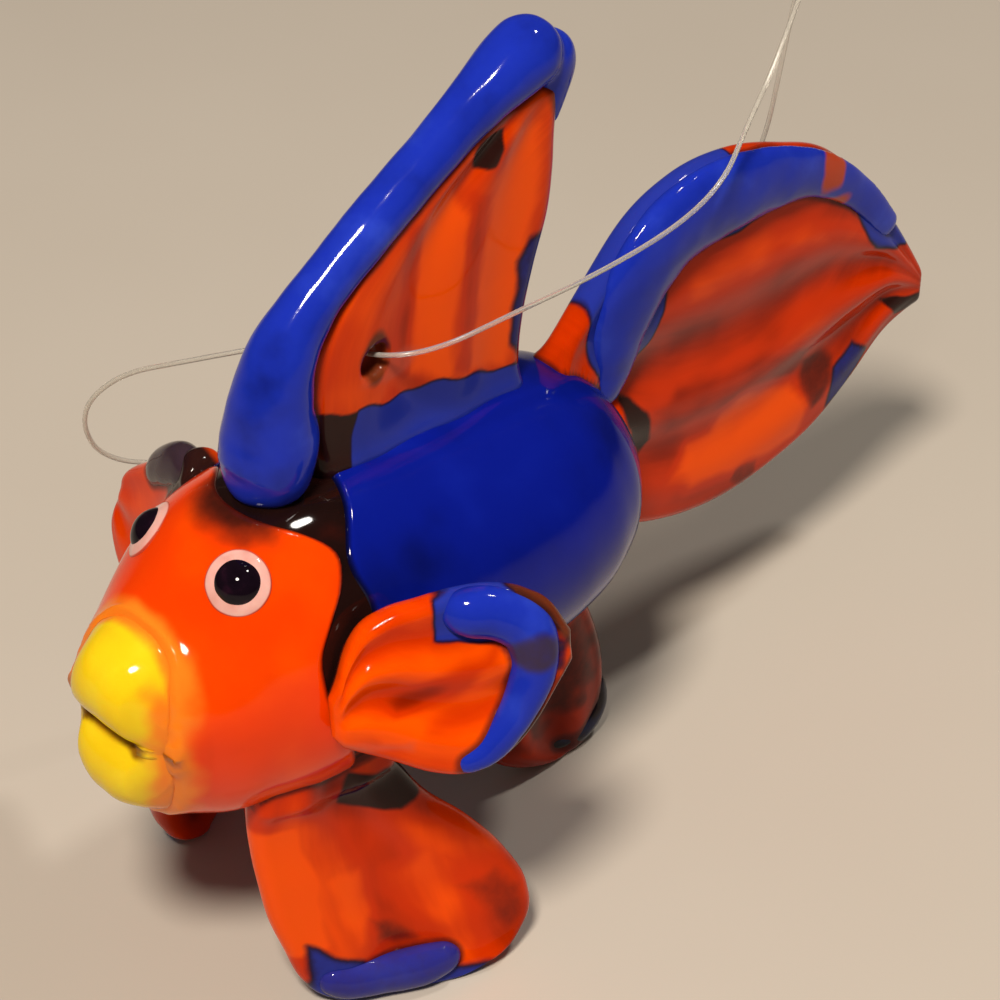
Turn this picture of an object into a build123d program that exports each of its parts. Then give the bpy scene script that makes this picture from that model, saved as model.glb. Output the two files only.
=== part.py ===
"""Lampworked glass fish ornament with a nylon hanging thread.

Millimetres, +Z up, nose towards -Y, the fish's left side towards +X.  The origin is on the
surface that the fish stands on, under the middle of its outline.
"""
from build123d import *
import os
from math import cos, dist, pi, radians, sin, sqrt, tan

# Stance
nose_y = -43.45
axis_height = 30.4

# Gather: the barrel of hot glass that makes the head and the body
gather_length = 49.0
gather_radius = 11.9
casing_wall = 2.0
band_sink = 0.35
gather_ring_points = 20
# (along the length, half width, rise above the axis, drop below it, narrowing towards the top)
gather_shares = [
    (0.035, 0.42, 0.34, 0.66, 0.00),
    (0.048, 0.52, 0.44, 0.79, 0.00),
    (0.072, 0.61, 0.54, 0.88, 0.00),
    (0.110, 0.72, 0.71, 0.95, 0.06),
    (0.170, 0.83, 0.97, 1.00, 0.05),
    (0.240, 0.93, 1.10, 1.03, 0.05),
    (0.320, 0.98, 1.13, 1.04, 0.05),
    (0.420, 1.00, 1.08, 1.03, 0.05),
    (0.540, 1.00, 1.02, 1.01, 0.03),
    (0.660, 1.00, 0.98, 1.00, 0.00),
    (0.770, 0.97, 0.94, 0.98, 0.00),
    (0.860, 0.87, 0.84, 0.89, 0.00),
    (0.930, 0.69, 0.67, 0.70, 0.00),
    (0.975, 0.44, 0.42, 0.44, 0.00),
    (1.000, 0.14, 0.13, 0.14, 0.00),
]
core_ring_points = 10
core_skipped_row_count = 2
side_cut_steps = 22
# Edges of the orange head and of the blue body in side view:
# (setback from the nose along the length, height over the axis in radii)
gill_shares = [
    (0.18, 1.50), (0.228, 1.14), (0.294, 1.02), (0.325, 0.91), (0.310, 0.76), (0.273, 0.61),
    (0.243, 0.45), (0.235, 0.25), (0.249, -0.04), (0.282, -0.42), (0.327, -0.92), (0.35, -1.40),
]
front_shares = [
    (0.50, 1.50), (0.400, 1.08), (0.338, 0.88), (0.335, 0.60), (0.336, 0.26), (0.343, -0.08),
    (0.359, -0.60), (0.376, -1.00), (0.39, -1.40),
]

# Mouth
mouth_half_width = 4.5
mouth_height_drop = 0.8
lip_radius = 3.65
lip_corner_radius = 1.9
lip_setback = 1.85
lip_corner_advance = 0.5
lip_rise = 3.6
lip_station_count = 7

# Eyes
eye_setback_share = 0.177
left_eye_turn_degrees = 27.5
right_eye_turn_degrees = 38.0
eye_ring_points = 16
eye_radius = 2.4
eye_proud = 0.45
eye_sink = 0.25
eye_depth = 1.2
pupil_radius = 1.75
pupil_proud = 0.85
pupil_depth = 0.5
pupil_lift = 0.1
# (radius, height) down the front of a pressed bead, and the radius of its back
bead_profile_shares = [(0.25, 1.00), (0.62, 0.68), (0.88, 0.28), (1.00, 0.00)]
bead_back_share = 0.7

# Fins: every web is a fluted blade with round edges, and every coloured edge is a drawn bead
web_edge_share = 0.42
web_edge_limit_share = 0.25
web_tip_share = 0.50
bead_ring_points = 10
bead_station_count = 8
bead_flatness = 0.8
# how far into a bead's round end each ring of the end lies, in radii
bead_end_shares = [0.04, 0.25, 0.60]

# Dorsal fin
dorsal_setback = 16.0
dorsal_seat = 10.0
dorsal_span = 30.0
dorsal_rise = 30.0
dorsal_web_thickness = 3.2
dorsal_flute_depth = 0.45
dorsal_flute_count = 4
# (rise, front, rear)
dorsal_web_shares = [
    (-0.04, 0.11, 0.785), (0.10, 0.080, 0.780), (0.233, 0.067, 0.797), (0.367, 0.083, 0.833),
    (0.500, 0.145, 0.877), (0.617, 0.260, 0.893), (0.717, 0.395, 0.897), (0.800, 0.550, 0.905),
    (0.867, 0.680, 0.915),
]
# (along, rise, radius as a share of the widest)
dorsal_bead_radius = 3.6
dorsal_bead_shares = [
    (-0.092, 0.080, 0.86), (-0.036, 0.150, 0.95), (-0.010, 0.225, 1.00), (0.003, 0.335, 0.84),
    (0.036, 0.440, 0.73), (0.120, 0.538, 0.58), (0.290, 0.660, 0.54), (0.460, 0.760, 0.54),
    (0.633, 0.857, 0.58), (0.830, 0.943, 0.76), (0.905, 0.958, 0.74),
]
dorsal_fold_radius = 2.1
dorsal_fold_shares = [(0.86, 0.965, 0.9), (0.890, 0.900, 1.0), (0.885, 0.800, 0.75), (0.880, 0.715, 0.40)]
thread_hole_diameter = 2.4
thread_hole_setback = 8.4
thread_hole_rise = 10.2

# Tail fin
tail_root_depth = 7.0
tail_span = 45.9
tail_drop = 14.0
tail_height = 35.0
tail_web_thickness = 2.6
tail_flute_depth = 0.8
tail_flute_count = 6
# (along, top, bottom)
tail_web_shares = [
    (0.000, 0.643, 0.400), (0.064, 0.743, 0.270), (0.129, 0.834, 0.160), (0.215, 0.940, 0.085),
    (0.322, 0.992, 0.025), (0.451, 0.985, -0.010), (0.590, 0.920, 0.000), (0.710, 0.835, 0.042),
    (0.800, 0.710, 0.115), (0.880, 0.575, 0.195), (0.945, 0.445, 0.222), (1.000, 0.325, 0.228),
]
tail_bead_half_width = 3.9
tail_bead_flatness = 0.4
tail_bead_shift = 1.2
# (along, height, half width)
tail_bead_shares = [
    (0.125, 0.500, 0.35), (0.155, 0.600, 0.60), (0.178, 0.705, 0.80), (0.218, 0.805, 0.95),
    (0.290, 0.875, 0.98), (0.390, 0.895, 0.95), (0.510, 0.875, 0.80), (0.640, 0.825, 0.55),
    (0.770, 0.700, 0.40), (0.885, 0.520, 0.30),
]

# Pectoral fins
left_pectoral_length = 18.2
left_pectoral_half_height = 7.3
left_pectoral_web_thickness = 2.4
left_pectoral_cup = 1.6
left_pectoral_flute_depth = 0.55
pectoral_flute_count = 4
# (along, low edge, high edge)
left_pectoral_web_shares = [
    (-0.075, -0.34, 0.06), (-0.045, -0.44, 0.22), (0.000, -0.51, 0.52), (0.070, -0.59, 0.77),
    (0.165, -0.70, 0.90), (0.300, -0.86, 0.97), (0.450, -0.93, 1.03), (0.600, -0.80, 1.03),
    (0.740, -0.46, 0.92), (0.840, -0.08, 0.72), (0.900, 0.14, 0.44),
]
pectoral_bead_half_width = 2.0
left_pectoral_bead_shift = 0.5
right_pectoral_bead_shift = 0.6
left_pectoral_bead_shares = [
    (0.385, 0.82, 0.60), (0.500, 0.79, 0.95), (0.620, 0.72, 1.00), (0.725, 0.50, 0.98),
    (0.742, 0.20, 0.90), (0.705, -0.12, 0.78), (0.635, -0.43, 0.68), (0.530, -0.69, 0.58),
    (0.400, -0.83, 0.42),
]
# (out, back, up) from the nose and the axis, in gather radii and gather lengths
left_pectoral_root_shares = (0.98, 0.249, 0.156)
left_pectoral_run = (0.53, 0.85, 0.0)
left_pectoral_face = (0.80, -0.50, 0.33)
# The right one was pulled shorter and more sideways than the left one
right_pectoral_length = 13.0
right_pectoral_half_height = 7.0
right_pectoral_cup = 0.9
right_pectoral_web_thickness = 3.0
right_pectoral_flute_depth = 0.2
right_pectoral_root_shares = (-0.86, 0.298, -0.031)
right_pectoral_run = (-0.92, 0.39, 0.0)
right_pectoral_face = (-0.30, -0.90, 0.30)
right_pectoral_web_shares = [
    (-0.120, -0.45, 0.60), (0.000, -0.68, 1.30), (0.110, -0.80, 1.40), (0.230, -0.88, 1.24),
    (0.370, -0.93, 1.02), (0.520, -0.91, 0.78), (0.660, -0.84, 0.52), (0.780, -0.70, 0.30),
    (0.855, -0.54, 0.12), (0.890, -0.40, -0.02),
]
right_pectoral_bead_shares = [
    (0.530, 0.46, 0.50), (0.440, 0.72, 0.80), (0.330, 0.90, 0.90), (0.210, 1.04, 0.90),
    (0.100, 1.08, 0.80), (0.020, 1.00, 0.55),
]

# Pelvic fins, the two front feet
pelvic_setback = 7.25
pelvic_seat = 5.4
pelvic_spread = 16.0
pelvic_chord = 20.0
pelvic_web_thickness = 2.6
pelvic_flute_depth = 0.45
pelvic_flute_count = 3
foot_cut_depth = 0.35
# (height, front edge out and back, rear edge out and back)
left_pelvic_shares = [
    (1.00, 0.37, 0.06, 0.44, 0.52), (0.88, 0.35, 0.02, 0.49, 0.56), (0.76, 0.34, 0.00, 0.55, 0.62),
    (0.64, 0.35, 0.00, 0.61, 0.70), (0.504, 0.375, 0.01, 0.72, 0.84), (0.36, 0.405, 0.03, 0.82, 0.95),
    (0.24, 0.445, 0.065, 0.905, 0.995), (0.12, 0.49, 0.105, 0.94, 0.96), (0.06, 0.525, 0.150, 0.95, 0.835),
    (0.025, 0.57, 0.21, 0.89, 0.70), (0.00, 0.62, 0.285, 0.80, 0.56),
]
right_pelvic_shares = [
    (1.00, 0.37, 0.06, 0.46, 0.52), (0.88, 0.36, 0.02, 0.51, 0.57), (0.76, 0.40, 0.01, 0.575, 0.62),
    (0.64, 0.475, 0.025, 0.65, 0.67), (0.504, 0.58, 0.07, 0.78, 0.775), (0.36, 0.67, 0.115, 0.90, 0.845),
    (0.24, 0.71, 0.17, 0.985, 0.865), (0.12, 0.72, 0.225, 1.02, 0.825), (0.06, 0.70, 0.275, 1.00, 0.745),
    (0.025, 0.725, 0.345, 0.95, 0.645), (0.00, 0.76, 0.405, 0.89, 0.545),
]
pelvic_bead_radius = 1.75
pelvic_bead_shift = 0.9
pelvic_bead_height_share = 0.06
# (along the foot, height in radii, radius)
pelvic_bead_shares = [
    (0.02, 1.75, 0.55), (0.14, 1.25, 0.90), (0.34, 1.05, 1.00), (0.56, 1.10, 1.00), (0.76, 1.45, 0.65),
]

# Anal fin, the rear foot
anal_setback = 32.5
anal_seat = 8.4
anal_chord = 16.0
anal_web_thickness = 2.8
anal_flute_depth = 0.35
anal_flute_count = 3
anal_lean = 0.06
# (height, front, rear)
anal_web_shares = [
    (1.00, 0.20, 0.68), (0.82, 0.14, 0.80), (0.60, 0.09, 0.93), (0.37, 0.10, 1.00), (0.23, 0.155, 0.995),
    (0.14, 0.25, 0.97), (0.07, 0.39, 0.92), (0.025, 0.54, 0.86), (0.00, 0.66, 0.80),
]
anal_bead_radius = 1.5
anal_bead_shift = 0.5
# (along, height, radius)
anal_bead_shares = [
    (0.97, 0.27, 0.45), (0.93, 0.15, 0.85), (0.82, 0.085, 1.00), (0.69, 0.085, 0.80), (0.56, 0.095, 0.45),
]

# Hanging thread: clear nylon, one loop through the dorsal fin, knotted above the tail
thread_diameter = 0.4
left_thread_route = [
    (0.0, -19.1, 50.6), (2.3, -18.7, 51.1), (4.6, -15.3, 51.5), (4.9, -9.1, 51.4), (5.0, 0.1, 50.8),
    (5.0, 8.6, 51.1), (4.0, 14.5, 52.0), (2.5, 18.2, 54.2), (1.2, 22.9, 57.8), (0.35, 26.3, 62.4),
]
right_thread_route = [
    (0.0, -19.1, 50.6), (-2.6, -19.7, 50.9), (-6.4, -24.0, 49.9), (-12.0, -26.4, 46.9),
    (-17.4, -27.5, 43.6), (-21.2, -28.3, 39.5), (-23.0, -27.9, 35.6), (-23.9, -26.1, 31.4),
    (-23.2, -22.3, 28.6), (-21.0, -15.1, 27.4), (-18.0, -5.2, 26.0), (-13.4, 4.7, 26.5),
    (-9.4, 13.5, 28.6), (-6.4, 20.5, 33.6), (-4.2, 24.9, 40.6), (-2.6, 26.5, 47.4),
    (-1.4, 26.4, 54.6), (-0.35, 26.6, 62.4),
]
thread_side_count = 6
# how much of the shorter run beside a bend its arc takes
thread_arc_share = 0.45
knot_radius = 0.95
knot_waist_share = 0.72
knot_height = 1.9
knot_wrap_count = 3
knot_ring_points = 10
knot_tail = 2.2
knot_tail_spread_degrees = 22.0

# how far cutting blocks reach past what they cut
overrun = 6.0


def plus(a, b):
    """Sum of two triples."""
    return (a[0] + b[0], a[1] + b[1], a[2] + b[2])


def times(a, k):
    """A triple times a number."""
    return (a[0] * k, a[1] * k, a[2] * k)


def middle_of(a, b):
    """The point halfway between two triples."""
    return times(plus(a, b), 1 / 2)


def facet(corners):
    """A flat face through corners."""
    return Face(Wire.make_polygon([Vector(*p) for p in corners], close=True))


def skin(rings):
    """A closed solid of flat facets through flat rings that all have the same number of points."""
    faces = []
    for ring in (rings[0], rings[-1]):
        faces.append(facet(ring))
    for low, high in zip(rings, rings[1:]):
        count = len(low)
        for k in range(count):
            a, b, c, d = low[k], low[(k + 1) % count], high[(k + 1) % count], high[k]
            corners = [(a, b, c), (a, c, d)] if dist(a, c) <= dist(b, d) else [(a, b, d), (b, c, d)]
            for three in corners:
                faces.append(facet(three))
    return Solid(Shell(faces))


def gather_point(row, turn, inset):
    """The gather's surface at a row of shares, turned from the top towards +X, moved in by inset."""
    along, width, rise, drop, narrowing = row
    reach = (rise if cos(turn) > 0 else drop) * gather_radius - inset
    side = width * gather_radius - inset
    return (
        side * sin(turn) * (1 - narrowing * cos(turn)),
        nose_y + along * gather_length,
        axis_height + reach * cos(turn),
    )


def gather(inset=0.0, count=gather_ring_points, skipped=0, step=1):
    """The barrel form, smaller all round by inset, from every step-th row past the skipped ones."""
    rows = gather_shares[skipped:len(gather_shares) - skipped:step]
    turns = [2 * pi * k / count for k in range(count)]
    return skin([[gather_point(row, turn, inset) for turn in turns] for row in rows])


def between_rows(along):
    """The gather's row of shares at any place along it."""
    for low, high in zip(gather_shares, gather_shares[1:]):
        if low[0] <= along <= high[0]:
            mix = (along - low[0]) / (high[0] - low[0])
            return tuple(a + (b - a) * mix for a, b in zip(low, high))
    raise ValueError("the place is past the gather's ends")


def side_cut(shares, forward):
    """A block with one edge curved in side view, reaching forward of it or back from it."""
    curve = Spline(
        *[(nose_y + along * gather_length, axis_height + height * gather_radius) for along, height in shares]
    )
    edge = [curve @ (k / side_cut_steps) for k in range(side_cut_steps + 1)]
    far_y = nose_y - overrun if forward else nose_y + gather_length + overrun
    outline = [(p.X, p.Y) for p in edge] + [(far_y, edge[-1].Y), (far_y, edge[0].Y)]
    face = Plane.YZ * make_face(Polyline(*outline, close=True))
    return extrude(face, amount=gather_radius + overrun, both=True)


def blade_ring(front, rear, face, thickness, cup, flute_depth, flutes):
    """Cross-section of a fin's web: a long slot with bevelled edges, cupped and pleated across."""
    run = (rear[0] - front[0], rear[1] - front[1], rear[2] - front[2])
    edge = min(web_edge_limit_share, thickness / 2 / dist(front, rear))
    shares = [0.0, edge]
    shares += [edge + (1 - 2 * edge) * (k + 0.5) / (2 * flutes) for k in range(2 * flutes)]
    shares += [1 - edge, 1.0]
    sides = []
    for way in (1, -1):
        side = []
        for share in shares:
            bulge = 4 * share * (1 - share)
            half = thickness / 2 * (1 if edge <= share <= 1 - edge else web_edge_share)
            wave = sin(pi * flutes * (share - edge) / (1 - 2 * edge)) if edge < share < 1 - edge else 0
            middle = cup * bulge + flute_depth * bulge * wave
            side.append(plus(plus(front, times(run, share)), times(face, middle + way * half)))
        sides.append(side)
    return sides[0] + sides[1][::-1]


def blade(rows, thickness, flute_depth, flutes):
    """A fin's web through rows of (front, rear, face, cup), thinner at its last row, the tip."""
    rings = []
    middles = [middle_of(front, rear) for front, rear, _, _ in rows]
    for middle, (front, rear, face, cup) in zip(middles, rows):
        reach = min(1.0, dist(middle, middles[-1]) / (thickness / 2))
        taper = web_tip_share + (1 - web_tip_share) * sqrt(1 - (1 - reach) ** 2)
        rings.append(blade_ring(front, rear, face, thickness * taper, cup, flute_depth * reach, flutes))
    return skin(rings)


def bead(path, radii, face, flatness, stations=bead_station_count):
    """A drawn bead of glass along a path, with round ends, flattened along the face direction."""
    line = Edge.make_spline([Vector(*p) for p in path])
    length, first, last = line.length, radii[0], radii[-1]
    marks = [0.0]
    for a, b in zip(path, path[1:]):
        marks.append(marks[-1] + dist(a, b))
    marks = [mark * length / marks[-1] for mark in marks]
    stops = [first * share for share in bead_end_shares]
    stops += [first + (length - last - first) * k / stations for k in range(stations + 1)]
    stops += [length - last * share for share in reversed(bead_end_shares)]
    rings = []
    for stop in stops:
        k = max(i for i in range(len(path) - 1) if marks[i] <= stop)
        radius = radii[k] + (radii[k + 1] - radii[k]) * (stop - marks[k]) / (marks[k + 1] - marks[k])
        if stop < first:
            radius = first * sqrt(1 - (1 - stop / first) ** 2)
        if length - stop < last:
            radius = last * sqrt(1 - (1 - (length - stop) / last) ** 2)
        at, tangent = line.position_at(stop / length), line.tangent_at(stop / length)
        wide = tangent.cross(Vector(*face)).normalized()
        thick = wide.cross(tangent).normalized() * flatness
        turns = [2 * pi * k / bead_ring_points for k in range(bead_ring_points)]
        rings.append([tuple(at + wide * (radius * cos(t)) + thick * (radius * sin(t))) for t in turns])
    return skin(rings)


def pressed_bead(plane, radius, proud, depth):
    """A bead of glass pressed flat on a plane, domed in front."""
    rows = [(radius * out, proud * up) for out, up in bead_profile_shares]
    rows.append((radius * bead_back_share, -depth))
    turns = [2 * pi * k / eye_ring_points for k in range(eye_ring_points)]
    return skin(
        [[tuple(plane.from_local_coords((r * cos(t), r * sin(t), z))) for t in turns] for r, z in rows]
    )


def on_gather(turn, step=0.01):
    """The plane on the gather where an eye sits, turned from the top, with its normal pointing out."""
    row = between_rows(eye_setback_share)
    here = Vector(*gather_point(row, turn, 0))
    around = Vector(*gather_point(row, turn + step, 0)) - Vector(*gather_point(row, turn - step, 0))
    ahead = Vector(*gather_point(between_rows(eye_setback_share + step), turn, 0))
    behind = Vector(*gather_point(between_rows(eye_setback_share - step), turn, 0))
    along = ahead - behind
    return Plane(origin=here, x_dir=along, z_dir=along.cross(around) * -1)


def lip(way):
    """One lip: a bead bent round half of the mouth, fat in the middle and thin at the corners."""
    path, radii = [], []
    crease = axis_height - mouth_height_drop
    for k in range(lip_station_count):
        t = 2 * k / (lip_station_count - 1) - 1
        swell = 1 - abs(t) ** 3
        path.append(
            (
                mouth_half_width * t,
                nose_y + lip_setback - lip_corner_advance * t * t,
                crease + way * (lip_rise * swell + lip_corner_radius * (1 - swell)),
            )
        )
        radii.append(lip_corner_radius + (lip_radius - lip_corner_radius) * swell)
    return bead(path, radii, (0, 0, 1), 1.0)


def dorsal_spot(along, rise, x=0.0):
    """A place on the dorsal fin, from shares of its span and rise."""
    return (
        x,
        nose_y + dorsal_setback + along * dorsal_span,
        axis_height + dorsal_seat + rise * dorsal_rise,
    )


def dorsal_fin():
    """The web with its thread hole, and the blue bead that runs up its front and folds over the tip."""
    rows = []
    for rise, front, rear in dorsal_web_shares:
        rows.append((dorsal_spot(front, rise), dorsal_spot(rear, rise), (1, 0, 0), 0))
    web = blade(rows, dorsal_web_thickness, dorsal_flute_depth, dorsal_flute_count)
    edge = bead(
        [dorsal_spot(along, rise) for along, rise, _ in dorsal_bead_shares],
        [dorsal_bead_radius * share for _, _, share in dorsal_bead_shares], (1, 0, 0), 1.0,
    )
    fold = bead(
        [dorsal_spot(along, rise) for along, rise, _ in dorsal_fold_shares],
        [dorsal_fold_radius * share for _, _, share in dorsal_fold_shares], (1, 0, 0), 1.0,
    )
    hole_at = (0, nose_y + dorsal_setback + thread_hole_setback, axis_height + dorsal_seat + thread_hole_rise)
    hole = Plane(origin=hole_at, z_dir=(1, 0, 0)) * Cylinder(
        thread_hole_diameter / 2, dorsal_web_thickness + overrun
    )
    return web - hole, edge + fold


def tail_spot(along, height, x=0.0):
    """A place on the tail fin, from shares of its span and height."""
    return (
        x,
        nose_y + gather_length - tail_root_depth + along * tail_span,
        axis_height - tail_drop + height * tail_height,
    )


def tail_fin():
    """The fluted fan, and the blue bead laid along its front and top on the left face."""
    rows = []
    for along, top, bottom in tail_web_shares:
        rows.append((tail_spot(along, bottom), tail_spot(along, top), (1, 0, 0), 0))
    web = blade(rows, tail_web_thickness, tail_flute_depth, tail_flute_count)
    edge = bead(
        [tail_spot(along, height, tail_bead_shift) for along, height, _ in tail_bead_shares],
        [tail_bead_half_width * share for _, _, share in tail_bead_shares], (1, 0, 0), tail_bead_flatness,
    )
    return web, edge


def pectoral_fin(
    root_shares, run, face, length, half, cup, thickness, flute_depth, shift, web_shares, bead_shares
):
    """A cupped fan standing off the gill, and the blue bead near its rim."""
    out, back, rise = root_shares
    root = Vector(out * gather_radius, nose_y + back * gather_length, axis_height + rise * gather_radius)
    face = Vector(*face).normalized()
    run = Vector(*run)
    run = (run - face * run.dot(face)).normalized()
    up = face.cross(run)
    if up.Z < 0:
        up = up * -1

    def spot(along, height, proud=0.0):
        return tuple(root + run * (along * length) + up * (height * half) + face * proud)

    web = blade(
        [
            (spot(along, low), spot(along, high), tuple(face), -cup * (high - low) / 2 * max(0.0, along))
            for along, low, high in web_shares
        ],
        thickness, flute_depth, pectoral_flute_count,
    )
    edge = bead(
        [spot(along, height, shift) for along, height, _ in bead_shares],
        [pectoral_bead_half_width * share for _, _, share in bead_shares], tuple(face), bead_flatness,
    )
    return web, edge


def pelvic_fin(shares, side):
    """A splayed paddle from the belly to the ground, and the blue bead along its foot."""
    def spot(out, back, height):
        y = nose_y + pelvic_setback + back * pelvic_chord
        return (side * out * pelvic_spread, y, foot_height(height, pelvic_seat))

    rows = []
    for height, front_out, front_back, rear_out, rear_back in shares:
        front, rear = spot(front_out, front_back, height), spot(rear_out, rear_back, height)
        face = Vector(rear[1] - front[1], front[0] - rear[0], 0).normalized() * side
        rows.append((front, rear, tuple(face), 0))
        if height >= pelvic_bead_height_share:
            bead_row = rows[-1]
    web = blade(rows, pelvic_web_thickness, pelvic_flute_depth, pelvic_flute_count)
    front, rear, face, _ = bead_row
    path = [
        plus(
            plus(front, times((rear[0] - front[0], rear[1] - front[1], 0), along)),
            plus(times(face, pelvic_bead_shift), (0, 0, height * pelvic_bead_radius - front[2])),
        )
        for along, height, _ in pelvic_bead_shares
    ]
    radii = [pelvic_bead_radius * share for _, _, share in pelvic_bead_shares]
    return web, bead(path, radii, face, bead_flatness)


def anal_fin():
    """The rear foot: a blade under the body with a dark bead at its rear corner."""
    def spot(height, along, shift=0.0):
        z = foot_height(height, anal_seat)
        lean = anal_lean * (axis_height - anal_seat - z)
        return (lean + shift, nose_y + anal_setback + along * anal_chord, z)

    rows = []
    for height, front, rear in anal_web_shares:
        rows.append((spot(height, front), spot(height, rear), (1, 0, 0), 0))
    web = blade(rows, anal_web_thickness, anal_flute_depth, anal_flute_count)
    edge = bead(
        [spot(height, along, anal_bead_shift) for along, height, _ in anal_bead_shares],
        [anal_bead_radius * share for _, _, share in anal_bead_shares], (1, 0, 0), bead_flatness,
    )
    return web, edge


def ground():
    """The slab that levels the feet."""
    size = 2 * gather_length
    return Pos(0, 0, -overrun / 2) * Box(size, size, overrun)


def foot_height(share, seat):
    """Height of a place on a foot, from below the ground at 0 up to its seat in the body at 1."""
    return share * (axis_height - seat + foot_cut_depth) - foot_cut_depth


def strand(name, route):
    """One strand of the thread: straight runs joined by tangent arcs."""
    points = [Vector(*p) for p in route]
    radii = []
    for a, b, c in zip(points, points[1:], points[2:]):
        turn = radians((b - a).get_angle(c - b))
        radii.append(thread_arc_share * min((b - a).length, (c - b).length) / tan(turn / 2))
    print(name, "arc radii", [round(r, 1) for r in radii])
    path = FilletPolyline(*points, radius=radii)
    section = Plane(origin=path @ 0, z_dir=path % 0) * RegularPolygon(thread_diameter / 2, thread_side_count)
    tube = sweep(section, path=path)
    print(name, "length", round(path.length, 1), "volume over section times length",
          round(tube.volume / (section.area * path.length), 4))
    return tube


def knot():
    """The knot that closes the loop: three tight wraps and two cut ends."""
    left, right = left_thread_route[-1], right_thread_route[-1]
    base = ((left[0] + right[0]) / 2, (left[1] + right[1]) / 2, left[2])
    turns = [2 * pi * k / knot_ring_points for k in range(knot_ring_points)]
    rings = []
    for k in range(2 * knot_wrap_count + 1):
        radius = knot_radius * (1 if k % 2 else knot_waist_share)
        height = knot_height * k / (2 * knot_wrap_count)
        rings.append([plus(base, (radius * cos(t), radius * sin(t), height)) for t in turns])
    body = skin(rings)
    for side in (-1, 1):
        start = plus(base, (side * thread_diameter, 0, knot_height))
        lean = radians(knot_tail_spread_degrees)
        plane = Plane(origin=start, z_dir=(side * sin(lean), 0, cos(lean)))
        section = plane * RegularPolygon(thread_diameter / 2, thread_side_count)
        body = body + extrude(section, amount=knot_tail) + extrude(section, amount=-thread_diameter)
    return body


def build():
    """Every piece, cut so that fused glass meets face to face."""
    whole = gather()
    core = gather(casing_wall, core_ring_points, core_skipped_row_count, 2)
    head_side = side_cut(gill_shares, True)
    body_side = side_cut(front_shares, False)
    band = gather(band_sink) - head_side - body_side
    parts = {"glass_core": core + band}
    head = (whole & head_side) - core
    body = (whole & body_side) - core

    for name, turn in (("left", left_eye_turn_degrees), ("right", -right_eye_turn_degrees)):
        plane = on_gather(radians(turn))
        white = pressed_bead(plane.offset(-eye_sink), eye_radius, eye_proud + eye_sink, eye_depth)
        pupil = pressed_bead(plane.offset(pupil_lift), pupil_radius, pupil_proud, pupil_depth)
        parts[name + "_eye_white"] = white - pupil
        parts[name + "_pupil"] = pupil
        head = head - white - pupil
    parts["orange_head"] = head
    parts["blue_body"] = body

    upper, lower = lip(1), lip(-1)
    parts["upper_lip"] = upper - whole
    parts["lower_lip"] = lower - whole - upper

    floor = ground()
    fins = {
        "dorsal": dorsal_fin(),
        "tail": tail_fin(),
        "left_pectoral": pectoral_fin(
            left_pectoral_root_shares, left_pectoral_run, left_pectoral_face, left_pectoral_length,
            left_pectoral_half_height, left_pectoral_cup, left_pectoral_web_thickness,
            left_pectoral_flute_depth, left_pectoral_bead_shift, left_pectoral_web_shares,
            left_pectoral_bead_shares,
        ),
        "right_pectoral": pectoral_fin(
            right_pectoral_root_shares, right_pectoral_run, right_pectoral_face, right_pectoral_length,
            right_pectoral_half_height, right_pectoral_cup, right_pectoral_web_thickness,
            right_pectoral_flute_depth, right_pectoral_bead_shift, right_pectoral_web_shares,
            right_pectoral_bead_shares,
        ),
        "left_pelvic": pelvic_fin(left_pelvic_shares, 1),
        "right_pelvic": pelvic_fin(right_pelvic_shares, -1),
        "anal": anal_fin(),
    }
    for name, (web, edge) in fins.items():
        if name in ("left_pelvic", "right_pelvic", "anal"):
            web, edge = web - floor, edge - floor
        tint = "dark" if name == "anal" else "blue"
        parts[name + "_web"] = web - edge - whole
        parts[name + "_" + tint + "_edge"] = edge - whole

    parts["thread_left_strand"] = strand("left strand", left_thread_route)
    parts["thread_right_strand"] = strand("right strand", right_thread_route)
    parts["thread_knot"] = knot()
    return parts


os.makedirs("parts", exist_ok=True)
for node, shape in build().items():
    export_step(shape, os.path.join("parts", node + ".step"))
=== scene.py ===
"""Drawn glass fish ornament with a nylon hanging thread, dressed for its portrait.

Sizes are in millimetres until a mesh is written, which is in metres.  +Z is up, the nose points
to -Y and the fish's left side to +X.
"""
import logging
import math
from collections.abc import Iterable, Iterator
from contextlib import contextmanager
from dataclasses import dataclass, field
from enum import Enum

import bmesh
import bpy
import numpy as np
from bmesh.types import BMesh, BMVert
from bpy.types import Curve, ID, Material, Mesh, Node, NodeSocket, NodeTree, Object
from mathutils import Matrix, Vector, noise
from mathutils.bvhtree import BVHTree


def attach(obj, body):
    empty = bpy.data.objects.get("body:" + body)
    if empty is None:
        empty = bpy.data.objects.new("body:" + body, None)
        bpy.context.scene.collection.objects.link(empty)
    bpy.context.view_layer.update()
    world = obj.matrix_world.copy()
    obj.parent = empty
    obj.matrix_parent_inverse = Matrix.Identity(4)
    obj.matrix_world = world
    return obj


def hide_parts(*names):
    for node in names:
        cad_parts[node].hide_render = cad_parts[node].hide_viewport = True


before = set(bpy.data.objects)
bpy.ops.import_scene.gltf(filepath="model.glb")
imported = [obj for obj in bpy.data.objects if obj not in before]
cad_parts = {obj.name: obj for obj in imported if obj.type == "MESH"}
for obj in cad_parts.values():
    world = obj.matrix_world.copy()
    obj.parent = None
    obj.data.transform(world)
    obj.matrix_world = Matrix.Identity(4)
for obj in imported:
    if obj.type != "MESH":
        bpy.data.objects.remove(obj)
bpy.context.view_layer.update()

log = logging.getLogger("fish")
MM = 0.001
BODY = "root"
SAME_PLACE = 2e-7  # vertices nearer than this are one, in metres
ROUND_START = 0.08  # where the rings of a round end begin, as a share of its quarter circle
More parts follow.
